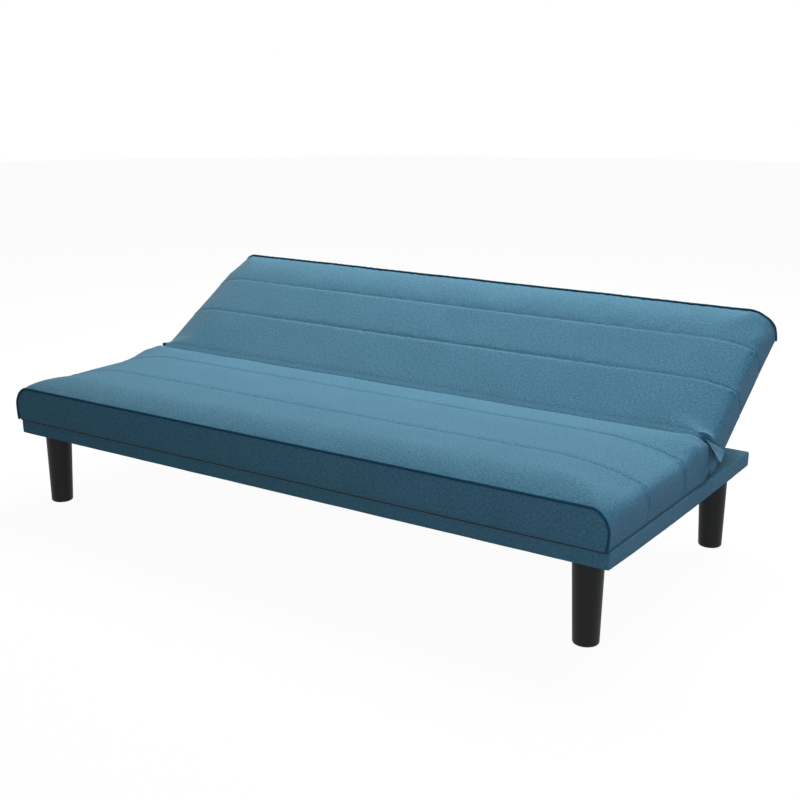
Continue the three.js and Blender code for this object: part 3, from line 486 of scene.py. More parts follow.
def stuff(piece, sewn, limit, pressure=4.0, frames=20):
    """Swells a sewn cover with Blender's cloth: seams are pinned, air presses from inside, gravity is off, and
    no point ends further than limit from where it was. The result is written back into the mesh."""
    scene = bpy.context.scene
    before = read_points(piece.data)
    group = piece.vertex_groups.new(name="sewn")
    group.add([int(i) for i in np.unique(sewn)], 1.0, "REPLACE")
    cloth = piece.modifiers.new("cloth", "CLOTH")
    settings = cloth.settings
    settings.quality = 5
    settings.mass = 0.3
    settings.tension_stiffness = 8
    settings.compression_stiffness = 8
    settings.shear_stiffness = 3
    settings.bending_stiffness = 0.6
    settings.vertex_group_mass = "sewn"
    settings.use_pressure = True
    settings.uniform_pressure_force = pressure
    settings.effector_weights.gravity = 0.0
    # The cloth is cut 1.2 % wider than its seams
    settings.shrink_min = -0.012
    cloth.point_cache.frame_start = 1
    cloth.point_cache.frame_end = frames
    for number in range(1, frames + 1):
        scene.frame_set(number)
    shown = piece.evaluated_get(bpy.context.evaluated_depsgraph_get())
    after = read_points(shown.data)
    piece.modifiers.remove(cloth)
    piece.vertex_groups.remove(piece.vertex_groups["sewn"])
    move = after - before
    reach = np.linalg.norm(move, axis=1, keepdims=True)
    move *= limit * np.tanh(reach / limit) / np.maximum(reach, 1e-9)
    write_points(piece, before + move)
    scene.frame_set(1)


def subdivide(piece):
    """Smooths a piece by one level of subdivision."""
    smooth = piece.modifiers.new("smooth", "SUBSURF")
    smooth.levels = smooth.render_levels = 1


def thicken(piece, wall, offset=0.0):
    """Gives a sheet its wall: inwards from its face at an offset of -1, to both sides at 0."""
    solid = piece.modifiers.new("wall", "SOLIDIFY")
    solid.thickness = wall
    solid.offset = offset


def tube(path, radius, sides=12, normal=(0, 1, 0)):
    """A round cord along a path that lies flat across a given normal: at each point a circle stands across
    the path, spanned by the normal and by path direction times normal. Each end closes in rings whose radius
    is a share of the cord's, set forward by that radius times the square root of 1 - share squared."""
    path = np.asarray(path, float)
    along = np.gradient(path, axis=0)
    along /= np.linalg.norm(along, axis=1, keepdims=True)
    normal = np.broadcast_to(np.asarray(normal, float), path.shape)
    side = np.cross(along, normal)
    side /= np.linalg.norm(side, axis=1, keepdims=True)
    up = np.cross(side, along)
    shares = np.array([0.97, 0.78, 0.45])
    ahead = radius * np.sqrt(1 - shares ** 2)[:, None]
    centres = np.concatenate([path[0] - along[0] * ahead[::-1], path, path[-1] + along[-1] * ahead])
    side, up = (np.pad(way, ((len(shares), len(shares)), (0, 0)), mode="edge") for way in (side, up))
    radii = radius * np.concatenate([shares[::-1], np.ones(len(path)), shares])
    turn = np.linspace(0, 2 * math.pi, sides, endpoint=False)
    rings = (centres[:, None] + radii[:, None, None]
             * (np.cos(turn)[None, :, None] * side[:, None] + np.sin(turn)[None, :, None] * up[:, None]))
    rows = len(centres)
    quads = grid_faces(rows, sides, wrap=True, flip=True)
    length = np.concatenate([[0], np.cumsum(np.linalg.norm(np.diff(centres, axis=0), axis=1))])
    r, k = quads[:, 3] // sides, quads[:, 3] % sides
    girth = 2 * math.pi * radius / sides
    uv = np.stack([np.stack([length[r + 1], k * girth], -1), np.stack([length[r + 1], (k + 1) * girth], -1),
                   np.stack([length[r], (k + 1) * girth], -1), np.stack([length[r], k * girth], -1)], 1)
    tips = np.stack([centres[0], centres[-1]]) + np.stack([-along[0], along[-1]]) * radius * 0.1
    points = np.concatenate([rings.reshape(-1, 3), tips])
    total = rows * sides
    around = np.arange(sides)
    n = (around + 1) % sides
    first = np.stack([np.full(sides, total), around, n], -1)
    last = np.stack([np.full(sides, total + 1), total - sides + n, total - sides + around], -1)
    faces = [*quads, *first, *last]
    caps = np.zeros((2 * sides * 3, 2))
    return points, faces, np.concatenate([uv.reshape(-1, 2), caps])


def stitches(name, path, normals, length, radius, material, gap=0.35):
    """A row of lockstitches: along a path, spindles of thread whose radius follows the square root of 1 - t
    squared, each a stitch long less a gap, lying half in the cloth."""
    path = np.asarray(path, float)
    walk = np.concatenate([[0], np.cumsum(np.linalg.norm(np.diff(path, axis=0), axis=1))])
    count = int(walk[-1] / length)
    middle = (np.arange(count) + 0.5) * length
    centre = np.stack([np.interp(middle, walk, path[:, i]) for i in range(3)], -1)
    up = np.stack([np.interp(middle, walk, normals[:, i]) for i in range(3)], -1)
    up /= np.linalg.norm(up, axis=1, keepdims=True)
    ahead = np.stack([np.interp(middle + length / 2, walk, path[:, i]) for i in range(3)], -1) - centre
    ahead /= np.maximum(np.linalg.norm(ahead, axis=1, keepdims=True), 1e-9)
    side = np.cross(ahead, up)
    # Four rings of six points make a spindle, pressed to 0.8 of its height by the pull of the thread
    t = np.array([-0.9, -0.45, 0.45, 0.9])
    rings, sides, pressed = len(t), 6, 0.8
    turn = np.linspace(0, 2 * math.pi, sides, endpoint=False)
    shape_along = t[:, None] * length * (1 - gap) / 2 * np.ones((1, sides))
    girth = radius * np.sqrt(1 - t[:, None] ** 2)
    ring = (centre[:, None, None] + ahead[:, None, None] * shape_along[None, ..., None]
            + side[:, None, None] * (girth * np.cos(turn))[None, ..., None]
            + up[:, None, None] * (girth * np.sin(turn) * pressed)[None, ..., None])
    quads = grid_faces(rings, sides, wrap=True)
    ends = np.stack([np.arange(sides)[::-1], np.arange(sides) + (rings - 1) * sides])
    offset = np.arange(count)[:, None, None] * rings * sides
    faces = [*(quads[None] + offset).reshape(-1, 4), *(ends[None] + offset).reshape(-1, sides)]
    corners = sum(len(f) for f in faces)
    return make_mesh(name, ring.reshape(-1, 3), faces, material, np.zeros((corners, 2)))


def turned(name, profile, centre, material, segments=72):
    """A turned piece: a profile of radius and height carried round an upright axis, closed at both poles."""
    profile = np.asarray(profile, float)
    turn = np.linspace(0, 2 * math.pi, segments, endpoint=False)
    rings = np.stack([profile[:, :1] * np.cos(turn), profile[:, :1] * np.sin(turn),
                      np.repeat(profile[:, 1:], segments, 1)], -1)
    rows = len(profile)
    points = np.concatenate([rings.reshape(-1, 3), [[0, 0, profile[0, 1]], [0, 0, profile[-1, 1]]]])
    around = np.arange(segments)
    n = (around + 1) % segments
    total = rows * segments
    bottom = np.stack([np.full(segments, total), n, around], -1)
    top = np.stack([np.full(segments, total + 1), total - segments + around, total - segments + n], -1)
    faces = [*grid_faces(rows, segments, wrap=True), *bottom, *top]
    return make_mesh(name, points + np.asarray(centre), faces, material)


def dress(piece, body, slot, *nodes):
    """Lets a piece ride on a body and stand for the nodes that it hides. Its slot is not used."""
    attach(piece, body)
    if nodes:
        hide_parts(*nodes)


# Rows of cloth along a cushion
def cloth_stations(start, end, channels, free_at_start, crown, crown_width, rows):
    """Stations from start to end, packed round each sewn channel, with the height lost to the crown at the
    free end, crown times (1 - distance / crown width) squared, and the relief of the channels."""
    beside_channel = np.array([-0.019, -0.0125, -0.0085, -0.0055, -0.0025, 0.0, 0.0025, 0.006, 0.011, 0.018])
    beside_seam = np.array([0.0015, 0.004, 0.008, 0.014])
    clear = 0.024
    marks = np.concatenate([c + beside_channel for c in channels])
    edges = [start, *sorted(channels), end]
    fill = np.concatenate([np.linspace(a, b, rows + 1) for a, b in zip(edges[:-1], edges[1:])])
    fill = np.array([f for f in fill if all(abs(f - c) > clear for c in channels) or f in (start, end)])
    free, inwards = (start, 1) if free_at_start else (end, -1)
    stations = np.unique(np.round(np.concatenate([fill, marks, free + inwards * beside_seam]), 6))
    fall = crown * np.clip(1 - np.abs(stations - free) / crown_width, 0, 1) ** 2
    return stations, fall, sewn_groove(stations, channels)


def sewn_groove(places, channels):
    """The relief of sewn channels, a narrow groove beside a soft ridge: exp(-(u / 2.8 mm) squared) less half
    of exp(-((u + 6.5 mm) / 4 mm) squared), where u is the distance past each channel."""
    away = np.asarray(places)[None] - np.asarray(channels)[:, None]
    groove, ridge, ridge_width = 0.0028, 0.0065, 0.004
    return (np.exp(-((away / groove) ** 2)) - 0.5 * np.exp(-(((away + ridge) / ridge_width) ** 2))).sum(0)


def pad_rows(stations, rims, channels):
    """The point numbers of a pad that are sewn down: both end rings, the feet and underside, the channels."""
    around, columns = rims["around"], rims["columns"]
    grid = np.arange(len(stations) * around).reshape(len(stations), around)
    sewn = [grid[0], grid[-1], grid[:, 0], grid[:, columns - 1:].ravel()]
    lines = [int(np.argmin(np.abs(stations - c))) for c in channels]
    return np.concatenate(sewn + [grid[line, :columns] for line in lines]), lines


def soften(pad, places, seam, channels, wave_seed, gather_seed, reach):
    """Gives a stuffed pad a soft unevenness, and gathers at its free seam and at each channel, all along its
    normals. Its points' places and the seam's are given in the cushion's own frame."""
    across, depth, height = places
    wave_height, wave_lengths, seam_gathers = 0.0011, (0.09, 0.16, 0.3), 0.0006
    loose = read_points(pad.data)
    from_seam = np.hypot(depth - seam[0], height - seam[1])
    relief = soft_waves(loose, wave_seed, wave_height, wave_lengths)
    relief += gathers(across, from_seam, gather_seed, seam_gathers, reach=reach)
    for number, line in enumerate(channels):
        relief += gathers(across, depth - line, gather_seed + 1 + number)
    # The underside stays flat, above its dust cloth
    underside, flat_up_to, full_from = -sizes().underside, 0.001, 0.015
    relief *= smooth_step(height, underside + flat_up_to, underside + full_from)
    write_points(pad, loose + read_points(pad.data, "normal") * relief[:, None])


def sew_channels(body, piece, rims, lines, spare):
    """Lays lockstitches in each sewn channel, but for a number of columns to spare at each end."""
    points, normals = read_points(piece.data), read_points(piece.data, "normal")
    thread_radius, proud = 0.0007, 0.0003
    for number, line in enumerate(lines):
        index = line * rims["around"] + np.arange(spare, rims["columns"] - spare)
        row = stitches(f"{body}_channel_stitches_{number + 1}", points[index] + normals[index] * proud,
                       normals[index], sizes().stitch_length, thread_radius, cover_cloth())
        dress(row, body, "woven_cover")


# The pieces, each made by its own operator
class SOFABED_OT_seat_pad(bpy.types.Operator):
    """Makes the seat's stuffed cover with its two sewn channels, and the piping along its front seam"""

    bl_idname = "sofabed.seat_pad"
    bl_label = "Seat pad"

    def execute(self, context):
        size = sizes()
        start, end = -size.seat_front, -size.seat_rear
        # The two channels, measured from the front seam
        channels = [start + 0.188, start + 0.378]
        # The face turns over its rear seam in a quarter circle, the lip
        lip, swing = 0.009, np.radians([22, 45, 68, 90])
        droop = lip * (1 - np.cos(swing))
        stations, fall, groove = cloth_stations(
            start, end - lip, channels, True, size.seat_crown, size.crown_width, size.cloth_rows)
        flat = np.zeros(len(stations))
        stations = np.concatenate([stations, end - lip + lip * np.sin(swing)])
        fall = np.concatenate([fall, droop])
        groove = np.concatenate([groove, np.zeros(len(swing))])
        # Behind its middle the dome sinks by only 0.85 of its height
        depth = (stations - start) / (end - start)
        dome = size.dome * (1 - np.where(depth < 0.5, 1.0, 0.85) * np.abs(2 * depth - 1) ** 3)
        top = size.face_height + dome - fall - size.channel_depth * groove
        bottom = np.full(len(stations), -size.underside)
        # The channels draw the ends in a little, and so does the lip
        drawn_in, lip_share = 0.0012, 0.4
        half = size.half_length - drawn_in * groove - lip_share * np.concatenate([flat, droop])
        # The face slopes to its ends: steeply at the front seam, broadly behind it, and hardly at all at the
        # rear, where the corners are rounded off instead. The slope is how far it falls, the width over what.
        behind_seam = smooth_step(stations, start, start + 0.15)
        rear = smooth_step(stations, -0.18, 0.0)
        corner = smooth_step(stations, -0.075, -0.03)
        slope = (0.03 + 0.008 * behind_seam) * (1 - 0.95 * rear) + 0.011 * corner
        width = (0.038 + 0.182 * behind_seam) * (1 - 0.6 * rear) * (1 - 0.62 * corner)
        points, faces, uv, rims = closed_pad(
            stations, top, bottom, half, bulges=(0.0035, 0.002), fall=slope, width=width)
        # At each end the rear swells back over the hinge, most at half its height
        swell, swell_start, swell_full, swell_depth, swell_top = 0.045, 0.772, 0.8, 0.1, 0.012
        outside = smooth_step(np.abs(points[:, 0]), swell_start, swell_full)
        height = np.clip((points[:, 2] + size.underside) / (size.underside + swell_top), 0, 1)
        backwards = np.sin(math.pi * height ** 0.9) ** 0.7 * smooth_step(points[:, 1], -swell_depth, end)
        points[:, 1] += swell * outside * backwards
        # The lower edge is drawn up off the base all round
        drawn_up, edge_height, edge_depth = 0.0034, 0.005, 0.0024
        inward = np.clip(np.minimum(size.half_length - np.abs(points[:, 0]), points[:, 1] - start), 0, None)
        low = np.exp(-(((points[:, 2] + size.underside) / edge_height) ** 2))
        points[:, 2] += drawn_up * low * np.exp(-((inward / edge_depth) ** 2))
        sewn, lines = pad_rows(stations, rims, channels)
        pad = make_mesh("seat_pad", on_seat(points), faces, cover_cloth(), uv)
        stuff(pad, sewn, size.stuffing)
        soften(pad, (read_points(pad.data) - PIVOT).T, (start, top[0]), channels,
               wave_seed=11, gather_seed=2, reach=0.034)
        dress(pad, "seat", "woven_cover", "seat_cover", "seat_foam")
        rim = read_points(pad.data)[:rims["columns"]]
        sew_channels("seat", pad, rims, lines, spare=4)
        subdivide(pad)
        cord = make_mesh("seat_piping_cord", *piping_along(rim, np.array([0.0, 1.0, 0.0]), -1))
        dress(cord, "seat", "piping_cord", "seat_piping")
        # The dust cloth's folded hem closes the gap under the front panel. Its near-black cord is also painted
        # shade: it stands in for the shadow line in that gap.
        shade_hem_radius, shade_hem_inset, shade_hem_margin = 0.0014, 0.0016, 0.0085
        across = np.linspace(-1, 1, 121)[:, None] * (size.half_length - shade_hem_margin)
        hem = across * [1, 0, 0] + [0, start + shade_hem_inset, shade_hem_radius - size.underside]
        points, faces, uv = tube(on_seat(hem), shade_hem_radius, sides=8)
        dress(make_mesh("seat_front_hem_painted_shade", points, faces, liner_cloth(), uv), "seat", "dust_cloth")
        return {"FINISHED"}


def piping_along(rim, normal, side):
    """The parts of a corded piping that lies in a cushion's seam: its middle stands 0.35 of its radius outside
    the seam, both away from the cushion's section and along the normal to the given side."""
    radius, outside_share = sizes().piping_radius, 0.35
    rim = rim.copy()
    # The cord ends a little short of the cushion's feet
    rim[[0, -1]] += 0.3 * (rim[[1, -2]] - rim[[0, -1]])
    along = np.gradient(rim, axis=0)
    outward = np.cross(along, normal)
    outward /= np.linalg.norm(outward, axis=1, keepdims=True)
    path = rim + outside_share * radius * (outward + side * normal)
    points, faces, uv = tube(path, radius, normal=normal)
    return points, faces, piping_cloth(), uv


class SOFABED_OT_back_pad(bpy.types.Operator):
    """Makes the back's stuffed cover with its two sewn channels, and the piping along its top seam"""

    bl_idname = "sofabed.back_pad"
    bl_label = "Back pad"

    def execute(self, context):
        size = sizes()
        start, end = size.back_start, size.back_end
        # The two channels, measured from the top seam
        channels = [end - 0.266, end - 0.126]
        stations, fall, groove = cloth_stations(
            start + 0.008, end, channels, False, size.back_crown, size.crown_width, size.cloth_rows)
        # Below its seam the face goes on as a roll round the hinge axis, and the body of the back begins there
        clearance = 0.0003
        radius = size.face_height - clearance
        swing = np.radians([-75, -60, -45, -30, -15, 0])
        first = np.concatenate([radius * np.sin(swing), [0.5 * start, start - 0.001, start, start + 0.002]])
        roll_rows, lower_rows = len(swing) + 2, len(first)
        stations = np.concatenate([first, stations])
        fall = np.concatenate([radius * (1 - np.cos(swing)), np.zeros(lower_rows - len(swing)), fall])
        groove = np.concatenate([np.zeros(lower_rows), groove])
        top = size.face_height - fall - size.channel_depth * groove
        bottom = np.full(len(stations), -size.underside)
        turn = np.concatenate([swing, np.arcsin(first[len(swing):roll_rows] / radius)])
        bottom[:roll_rows] = -radius * np.cos(turn)
        bottom[roll_rows:lower_rows] += (0.008, 0.003)
        # The channels draw the ends in a little, and the roll stops short of them
        drawn_in = 0.0012
        half = size.half_length - drawn_in * groove
        half[:lower_rows] -= (0.026, 0.023, 0.0215, 0.021, 0.021, 0.021, 0.021, 0.02, 0.005, 0.0015)
        # The face slopes to its ends from the lower seam on: narrowly there, broadly above it, and deep and
        # narrow again at the top
        lower = 1 - smooth_step(stations, start, start + 0.05)
        upper = smooth_step(stations, end - 0.11, end)
        slope = (0.025 + 0.012 * upper) * smooth_step(stations, start - 0.001, start + 0.012)
        width = (0.13 - 0.075 * upper) * (1 - 0.65 * lower)
        points, faces, uv, rims = closed_pad(
            stations, top, bottom, half, bulges=(0.0005, 0.0045), fall=slope, width=width, tuck=0.0025)
        # The channels fade by 0.85 of their depth towards the ends, where the stuffing fills them
        fade_start, fade_end, fade_share = 0.3, 0.72, 0.85
        faded = smooth_step(np.abs(points[:, 0]), fade_start, fade_end)
        faded *= smooth_step(points[:, 2], -0.03, -0.015)
        points[:, 2] += fade_share * size.channel_depth * sewn_groove(points[:, 1], channels) * faded
        sewn, lines = pad_rows(stations, rims, channels)
        sewn = np.concatenate([sewn, np.arange(lower_rows * rims["around"])])
        pad = make_mesh("back_pad", on_back(points), faces, cover_cloth(), uv)
        stuff(pad, sewn, size.stuffing)
        x, y, z = (read_points(pad.data) - PIVOT).T
        up_back = y * math.cos(LOUNGE) + z * math.sin(LOUNGE)
        outwards = z * math.cos(LOUNGE) - y * math.sin(LOUNGE)
        soften(pad, (x, up_back, outwards), (end, top[-1]), channels,
               wave_seed=23, gather_seed=6, reach=0.03)
        dress(pad, "back", "woven_cover", "back_cover", "back_foam")
        last = (len(stations) - 1) * rims["around"]
        rim = read_points(pad.data)[last:last + rims["columns"]]
        sew_channels("back", pad, rims, lines, spare=26)
        subdivide(pad)
        up = on_back([[0, 1, 0]])[0] - on_back([[0, 0, 0]])[0]
        cord = make_mesh("back_piping_cord", *piping_along(rim, up, 1))
        dress(cord, "back", "piping_cord", "back_piping")
        return {"FINISHED"}


class SOFABED_OT_base_cover(bpy.types.Operator):
    """Makes the base's cloth cover: a thin slab with soft edges whose hem sags a little along its ends"""

    bl_idname = "sofabed.base_cover"
    bl_label = "Base cover"

    def execute(self, context):
        front, rear = BASE_LOW[1], BASE_HIGH[1]
        # The long edges turn through a quarter circle
        edge, swing = 0.0035, np.radians([90, 60, 32, 12])
        drop = edge * (1 - np.cos(swing))
        inset = edge * (1 - np.sin(swing))
        middle = np.linspace(front + edge, rear - edge, 240)
        stations = np.concatenate([front + inset, middle, (rear - inset)[::-1]])
        fall = np.concatenate([drop, np.zeros(len(middle)), drop[::-1]])
        # The hem sags most at the middle of each end
        share = (stations - front) / (rear - front)
        hem_sag = 0.0045
        sag = hem_sag * np.sin(math.pi * share) ** 0.8
        top = BASE_HIGH[2] - BASE_LOW[2] - fall
        bottom = 0.4 * fall
        half = BASE_HIGH[0] - 1.2 * fall
        points, faces, uv, _ = closed_pad(
            stations, top, bottom, half, bulges=(0.0012, 0.0012), fall=0.0, width=0.01, cap_rows=6, edge=edge,
            tuck=0.0015, foot_sag=sag)
        points = points + np.array([0, 0, BASE_LOW[2]])
        cover = make_mesh("base_upholstery", points, faces, cover_cloth(), uv)
        # Waves of up to 0.4 mm, on a cloth raised by 0.2 mm all round
        wave_height, cloth_height = 0.0004, 0.0002
        relief = soft_waves(points, 5, wave_height, (0.07, 0.15)) + cloth_height
        # Below each hinge the cloth is pulled into three short folds: how far behind the axis each lies, how
        # it slants and how high it is
        folds = ((0.012, 0.5, 0.0012), (0.04, -0.7, 0.0013), (0.075, -1.1, 0.001))
        fold_width, fold_reach = 0.008, 0.022
        x, y, z = (points - np.array([0, PIVOT[1], BASE_HIGH[2]])).T
        down = np.hypot(np.clip(-z, 0, None), (BASE_HIGH[0] - np.abs(x)) * 0.6)
        for place, lean, height in folds:
            across = y - place + lean * z
            relief += height * np.exp(-((across / fold_width) ** 2) - (down / fold_reach) ** 2)
        write_points(cover, points + read_points(cover.data, "normal") * relief[:, None])
        dress(cover, "base", "woven_cover", "base_cover")
        subdivide(cover)
        return {"FINISHED"}


def stretched_cloth(name, corners, inwards, body, node):
    """A thin cloth stretched over a frame: a grid between two opposite corners, with p across and q along it
    from -1 to 1, whose edges ripple inwards by 0.6 mm times sin(61 p) q to the 6th + sin(31 q) p to the 12th.
    Its wall is 0.6 mm."""
    low, high = corners
    columns, rows, ripple = 97, 37, 0.0006
    p, q = np.meshgrid(np.linspace(-1, 1, columns), np.linspace(-1, 1, rows), indexing="xy")
    x = low[0] + (p + 1) / 2 * (high[0] - low[0])
    s = low[1] + (q + 1) / 2 * (high[1] - low[1])
    d = low[2] + inwards * ripple * (np.sin(p * 61) * np.abs(q) ** 6 + np.sin(q * 31) * np.abs(p) ** 12)
    place = on_body(body, np.stack([x, s, d], -1))
    quads = grid_faces(rows, columns, flip=True)
    uv = np.stack([x, s], -1).reshape(-1, 2)[quads.ravel()]
    sheet = make_mesh(name, place.reshape(-1, 3), quads, liner_cloth(), uv)
    thicken(sheet, 0.0006, offset=-1.0)
    dress(sheet, body, "dust_cloth", node)


def staples(name, corners, height, body, spacing=0.045):
    """Wire staples along the four edges of a cloth, 6 mm in from them: bars 10 by 1.2 by 0.8 mm that lie along
    the edge and narrow towards their outer face."""
    low, high = corners
    margin = 0.006
    xs = np.arange(low[0] + spacing / 2, high[0], spacing)
    ss = np.arange(low[1] + spacing / 2, high[1], spacing)
    # Each place has a third value: 0 where the edge runs across, 1 where it runs along the cushion's depth
    spots = np.concatenate([
        np.stack([xs, np.full(len(xs), low[1] + margin), np.zeros(len(xs))], -1),
        np.stack([xs, np.full(len(xs), high[1] - margin), np.zeros(len(xs))], -1),
        np.stack([np.full(len(ss), low[0] + margin), ss, np.ones(len(ss))], -1),
        np.stack([np.full(len(ss), high[0] - margin), ss, np.ones(len(ss))], -1)])
    # Level, half length and half width of the bar's three sections
    sections = ((0, 0.005, 0.0006), (-0.0004, 0.005, 0.0006), (-0.0008, 0.0044, 0.0003))
    quarters = ((-1, -1), (1, -1), (1, 1), (-1, 1))
    bar = np.array([[sx * long, sy * wide, level] for level, long, wide in sections for sx, sy in quarters])
    quads = [*grid_faces(3, 4, wrap=True, flip=True), [0, 1, 2, 3], [11, 10, 9, 8]]
    turned_bar = bar[:, [1, 0, 2]] * np.array([-1, 1, 1])
    shapes = np.where(spots[:, 2, None, None] > 0.5, turned_bar[None], bar[None])
    points = shapes + np.stack([spots[:, 0], spots[:, 1], np.full(len(spots), height)], -1)[:, None]
    faces = [np.asarray(quad) + len(bar) * n for n in range(len(spots)) for quad in quads]
    row = make_mesh(name, on_body(body, points).reshape(-1, 3), faces, zinc_plated(), smooth=False)
    dress(row, body, "zinc_steel")


class SOFABED_OT_dust_cloths(bpy.types.Operator):
    """Makes the black cloths stapled under the seat, behind the back and under the base"""

    bl_idname = "sofabed.dust_cloths"
    bl_label = "Dust cloths"

    def execute(self, context):
        # The cushions' cloths lie a margin inside their edges and a little below their undersides
        size = sizes()
        end_margin, below = 0.0415, 0.0003
        reach, level = size.half_length - end_margin, -size.underside - below
        seat_depth = (-size.seat_front + 0.03, -size.seat_rear - 0.012)
        back_depth = (size.back_start + 0.025, size.back_end - 0.03)
        for name, node, body, (near, far) in (
                ("seat_under_cloth", "seat_dust_cloth", "seat", seat_depth),
                ("back_rear_lining", "back_rear_cloth", "back", back_depth)):
            corners = ((-reach, near, level), (reach, far, level))
            stretched_cloth(name, corners, 1, body, node)
            staples(f"{name}_staples", corners, level - 0.0001, body)
        low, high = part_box("base_dust_cloth")
        level = low[2] - 0.0006
        corners = ((low[0], low[1], level), (high[0], high[1], level))
        stretched_cloth("base_under_cloth", corners, -1, "base", "base_dust_cloth")
        staples("base_under_cloth_staples", corners, level - 0.0002, "base")
        return {"FINISHED"}


def hinge_fold(name, corners, sign):
    """A folded triangle of cloth that spreads from its first corner to the edge between the other two, with u
    running away from that corner and v along that edge. It stands out by 2 mm times sin(1.15 pi u) times
    sin(1.6 pi v) squared, droops by 4 mm times u squared times sin(pi v), and its wall is 1.1 mm."""
    apex, near, far = (np.array(corner) for corner in corners)
    rows, columns, fold_height, droop_height, wall = 31, 17, 0.002, 0.004, 0.0011
    u, v = np.meshgrid(np.linspace(0.02, 1, rows), np.linspace(0, 1, columns), indexing="ij")
    u, v = u[..., None], v[..., None]
    grid = apex * (1 - u) + u * (near * (1 - v) + far * v)
    fold = fold_height * np.sin(math.pi * np.clip(1.15 * u, 0, 1)) * np.sin(1.6 * math.pi * v) ** 2
    droop = droop_height * (u ** 2) * np.sin(math.pi * v)
    grid = grid + np.concatenate([fold, -0.5 * droop, -droop], -1)
    grid[..., 0] *= sign
    place = on_back(grid)
    quads = grid_faces(rows, columns, flip=sign > 0)
    uv = grid[..., 1:].reshape(-1, 2)[quads.ravel()]
    cloth = make_mesh(name, place.reshape(-1, 3), quads, cover_cloth(), uv)
    thicken(cloth, wall)
    subdivide(cloth)
    dress(cloth, "back", "woven_cover")


class SOFABED_OT_gap_liner(bpy.types.Operator):
    """Makes the strip of cover cloth that closes the gap between seat and back, and the folds at its ends"""

    bl_idname = "sofabed.gap_liner"
    bl_label = "Gap liner"

    def execute(self, context):
        # The strip lies on an arc round the hinge axis, outside the back's roll, and ripples a little
        clearance, ripple, wall, rims = 0.0003, 0.0002, 0.0008, 0.001
        radius, reach = sizes().face_height + clearance, float(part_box("gap_cloth")[1][0])
        rows, columns = 19, 121
        arc = np.radians(np.linspace(118, 205, rows))
        a, x = np.meshgrid(arc, np.linspace(-reach, reach, columns), indexing="ij")
        r = radius + ripple * np.sin(x * 70) * np.sin(a * 2)
        strip = on_back(np.stack([x, r * np.cos(a), r * np.sin(a)], -1))
        quads = grid_faces(rows, columns, flip=True)
        uv = np.stack([x, a * radius], -1).reshape(-1, 2)[quads.ravel()]
        liner = make_mesh("gap_liner", strip.reshape(-1, 3), quads, cover_cloth(), uv)
        thicken(liner, wall)
        dress(liner, "back", "woven_cover", "gap_cloth")
        # The flap hangs from the junction over the back's end, and the web is the dark fold under it. Their
        # corners are given in the back's own frame: first the one where seat and back meet.
        flap_corners = [(0.829, -0.005, 0.0225), (0.852, 0.029, -0.044), (0.866, -0.031, -0.018)]
        web_corners = [(0.829, -0.003, -0.012), (0.834, 0.014, -0.08), (0.831, -0.02, -0.074)]
        for side, sign in (("left", -1), ("right", 1)):
            for name, corners in (("flap", flap_corners), ("web", web_corners)):
                hinge_fold(f"hinge_{name}_{side}", corners, sign)
        return {"FINISHED"}


class SOFABED_OT_legs(bpy.types.Operator):
    """Makes the four moulded legs: a straight taper with a rounded foot and a slight edge at the top"""

    bl_idname = "sofabed.legs"
    bl_label = "Legs"

    def execute(self, context):
        foot_share, edge = 0.83, 0.0045
        upper = float(LEG_HIGH[0] - LEG_LOW[0]) / 2
        lower = upper * foot_share
        turn = np.linspace(0, math.pi / 2, 9)
        foot = np.stack([lower - edge * (1 - np.sin(turn)), edge * (1 - np.cos(turn))], -1)
        foot = np.concatenate([[[lower * 0.5, 0.0]], foot])
        shaft = np.linspace(0, 1, 12)[1:]
        # A slight chamfer ends the side just below the base
        top, chamfer = BASE_LOW[2], 0.0008
        rise = top - chamfer - edge
        side = np.stack([lower + (upper - lower) * shaft, edge + rise * shaft], -1)
        rim = np.array([[upper - 0.0006, top - 0.0001], [upper - 0.004, top]])
        profile = np.concatenate([foot, side, rim])
        for place in ("front_left", "front_right", "rear_left", "rear_right"):
            low, high = (np.array(corner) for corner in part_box(f"leg_{place}"))
            centre = [(low[0] + high[0]) / 2, (low[1] + high[1]) / 2, 0.0]
            leg = turned(f"moulded_leg_{place}", profile, centre, moulded_black())
            dress(leg, "base", "black_plastic", f"leg_{place}")
        return {"FINISHED"}


def screw_heads(name, spots, radius, axis_sign, body):
    """Pan-headed screws whose axes lie along X: domes of the height radius times (0.5 times the square root of
    1.04 - r squared), less a four-lobed dip that stands for the crossed recess."""
    rings, segments = 7, 24
    lobe_width, recess_share, dip = 0.35, 0.62, 0.22
    r = np.linspace(0, 1, rings)[1:, None] * np.ones((1, segments))
    turn = np.linspace(0, 2 * math.pi, segments, endpoint=False)[None] * np.ones((rings - 1, 1))
    cross = np.exp(-((r * np.sin(2 * turn) / lobe_width) ** 2)) * (r < recess_share)
    height = radius * (0.5 * np.sqrt(np.clip(1.04 - r ** 2, 0, 1)) - dip * cross)
    dome = np.stack([axis_sign * height, radius * r * np.cos(turn), radius * r * np.sin(turn)], -1)
    pole = np.array([[axis_sign * radius * 0.28, 0, 0], [0, 0, 0]])
    shape = np.concatenate([dome.reshape(-1, 3), pole])
    rows = rings - 1
    flip = axis_sign < 0
    quads = grid_faces(rows, segments, wrap=True, flip=not flip)
    around = np.arange(segments)
    n = (around + 1) % segments
    top = np.stack([np.full(segments, rows * segments), around, n], -1)
    foot = np.stack([np.full(segments, rows * segments + 1), (rows - 1) * segments + n,
                     (rows - 1) * segments + around], -1)
    if flip:
        top, foot = top[:, ::-1], foot[:, ::-1]
    count = len(shape)
    faces = [np.asarray(f) + count * i for i in range(len(spots)) for f in [*quads, *top, *foot]]
    points = (shape[None] + np.asarray(spots)[:, None]).reshape(-1, 3)
    dress(make_mesh(name, points, faces, zinc_plated()), body, "zinc_steel")


